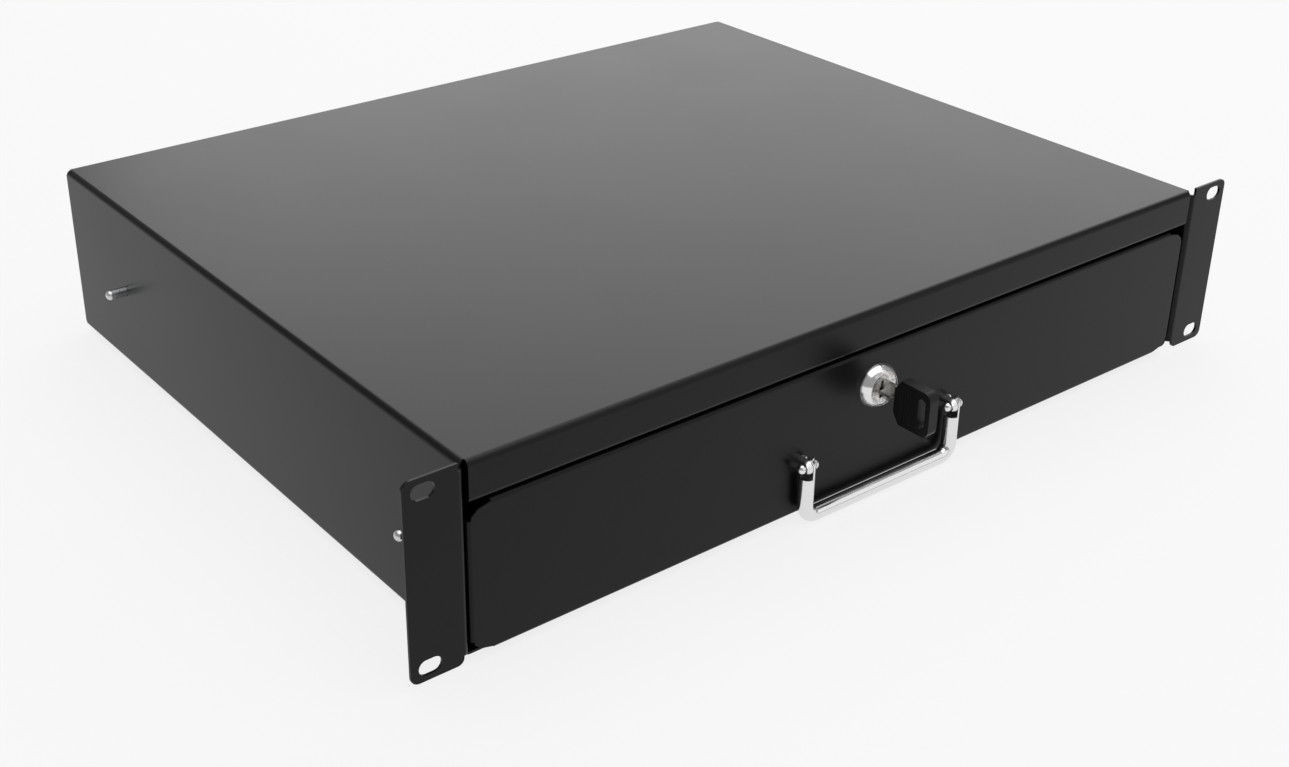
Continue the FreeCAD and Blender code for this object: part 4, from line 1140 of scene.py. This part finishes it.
# ---- stage
def add_floor(settings, low):
    """Plain floor: cameras and shiny surfaces see it evenly lit, with part of the shadow kept."""
    bpy.ops.mesh.primitive_plane_add(size=settings.floor_size, location=(0, 0, low))
    floor = bpy.context.object
    floor.name = "floor"
    bpy.ops.object.transform_apply(location=True, rotation=True, scale=True)
    material, tree, shader = new_material("floor", settings.floor_colour, 0.9)
    shader.inputs["Specular IOR Level"].default_value = 0.0
    glow = add_node(tree, "ShaderNodeEmission", Color=(*settings.backdrop_colour, 1), Strength=1.0)
    rays = add_node(tree, "ShaderNodeLightPath")
    seen = add_node(tree, "ShaderNodeMath", operation="MAXIMUM")
    seen_all = add_node(tree, "ShaderNodeMath", operation="MAXIMUM")
    share = add_node(tree, "ShaderNodeMath", operation="MULTIPLY")
    share.inputs[1].default_value = 1 - settings.shadow_share
    mix = add_node(tree, "ShaderNodeMixShader")
    tree.links.new(rays.outputs["Is Camera Ray"], seen.inputs[0])
    tree.links.new(rays.outputs["Is Glossy Ray"], seen.inputs[1])
    tree.links.new(seen.outputs[0], seen_all.inputs[0])
    tree.links.new(rays.outputs["Is Transmission Ray"], seen_all.inputs[1])
    tree.links.new(seen_all.outputs[0], share.inputs[0])
    tree.links.new(share.outputs[0], mix.inputs[0])
    tree.links.new(shader.outputs["BSDF"], mix.inputs[1])
    tree.links.new(glow.outputs[0], mix.inputs[2])
    tree.links.new(mix.outputs[0], tree.nodes["Material Output"].inputs["Surface"])
    floor.data.materials.append(material)
    floor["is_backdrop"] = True


def add_softbox(name, azimuth, elevation, distance, size, radiance):
    """Rectangular lamp that faces the part; azimuth 0 is behind it and 90 on its right."""
    turn, lift = math.radians(azimuth), math.radians(elevation)
    away = Vector((math.sin(turn) * math.cos(lift), math.cos(turn) * math.cos(lift), math.sin(lift)))
    bpy.ops.object.light_add(type="AREA", location=LAMP_AIM + away * distance)
    lamp = bpy.context.object
    lamp.name = name
    lamp.data.shape = "RECTANGLE"
    lamp.data.size, lamp.data.size_y = size
    lamp.data.energy = radiance * math.pi * size[0] * size[1]
    lamp.rotation_euler = (-away).to_track_quat("-Z", "Y").to_euler()


def set_world(settings):
    world = bpy.data.worlds.new("studio")
    bpy.context.scene.world = world
    world.use_nodes = True
    background = world.node_tree.nodes["Background"]
    background.inputs["Color"].default_value = (1, 1, 1, 1)
    background.inputs["Strength"].default_value = settings.world_strength


def add_camera(settings):
    turn, lift = settings.camera_azimuth, settings.camera_elevation
    back = Vector((math.sin(turn) * math.cos(lift), -math.cos(turn) * math.cos(lift), math.sin(lift)))
    bpy.ops.object.camera_add(location=Vector(settings.camera_aim) + back * settings.camera_distance)
    camera = bpy.context.object
    camera.rotation_mode = "QUATERNION"
    roll = Quaternion((0, 0, 1), settings.camera_roll)
    camera.rotation_quaternion = (-back).to_track_quat("-Z", "Y") @ roll
    camera.data.sensor_width = SENSOR_WIDTH
    camera.data.lens = settings.camera_lens
    camera.data.shift_x, camera.data.shift_y = settings.camera_shift
    camera.data.clip_start = 0.01
    bpy.context.scene.camera = camera


class RACKDRAWER_OT_stage(bpy.types.Operator):
    """Adds the floor, the lamps and the camera"""

    bl_idname = "rackdrawer.stage"
    bl_label = "Stage"

    def execute(self, context):
        settings = context.scene.rackdrawer_stage
        add_floor(settings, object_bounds()[0].z - FLOOR_GAP)
        set_world(settings)
        for softbox in SOFTBOXES:
            add_softbox(*softbox)
        add_camera(settings)
        context.scene.view_settings.view_transform = "Standard"
        return {"FINISHED"}


class RACKDRAWER_PT_panel(bpy.types.Panel):
    """Lists the steps that build the rack drawer"""

    bl_label = "Rack Drawer"
    bl_idname = "RACKDRAWER_PT_panel"
    bl_space_type = "VIEW_3D"
    bl_region_type = "UI"
    bl_category = "Rack Drawer"

    def draw(self, context):
        for step in STEPS:
            self.layout.operator(step.bl_idname)


SETTINGS = {
    "rackdrawer_paint": PaintSettings,
    "rackdrawer_metal": MetalSettings,
    "rackdrawer_sheet": SheetSettings,
    "rackdrawer_front": FrontSettings,
    "rackdrawer_handle": HandleSettings,
    "rackdrawer_lock": LockSettings,
    "rackdrawer_key": KeySettings,
    "rackdrawer_stage": StageSettings,
}
STEPS = (
    RACKDRAWER_OT_finishes,
    RACKDRAWER_OT_case,
    RACKDRAWER_OT_front,
    RACKDRAWER_OT_bail,
    RACKDRAWER_OT_posts,
    RACKDRAWER_OT_lock,
    RACKDRAWER_OT_plug,
    RACKDRAWER_OT_key,
    RACKDRAWER_OT_bolts,
    RACKDRAWER_OT_stage,
)


def register():
    for kind in (*SETTINGS.values(), *STEPS, RACKDRAWER_PT_panel):
        bpy.utils.register_class(kind)
    for name, kind in SETTINGS.items():
        setattr(bpy.types.Scene, name, bpy.props.PointerProperty(type=kind))


def unregister():
    for name in SETTINGS:
        delattr(bpy.types.Scene, name)
    for kind in (RACKDRAWER_PT_panel, *STEPS[::-1], *list(SETTINGS.values())[::-1]):
        bpy.utils.unregister_class(kind)


def run_step(step):
    group, name = step.bl_idname.split(".")
    getattr(getattr(bpy.ops, group), name)()


def main():
    register()
    for step in STEPS:
        run_step(step)


if __name__ == "__main__":
    main()
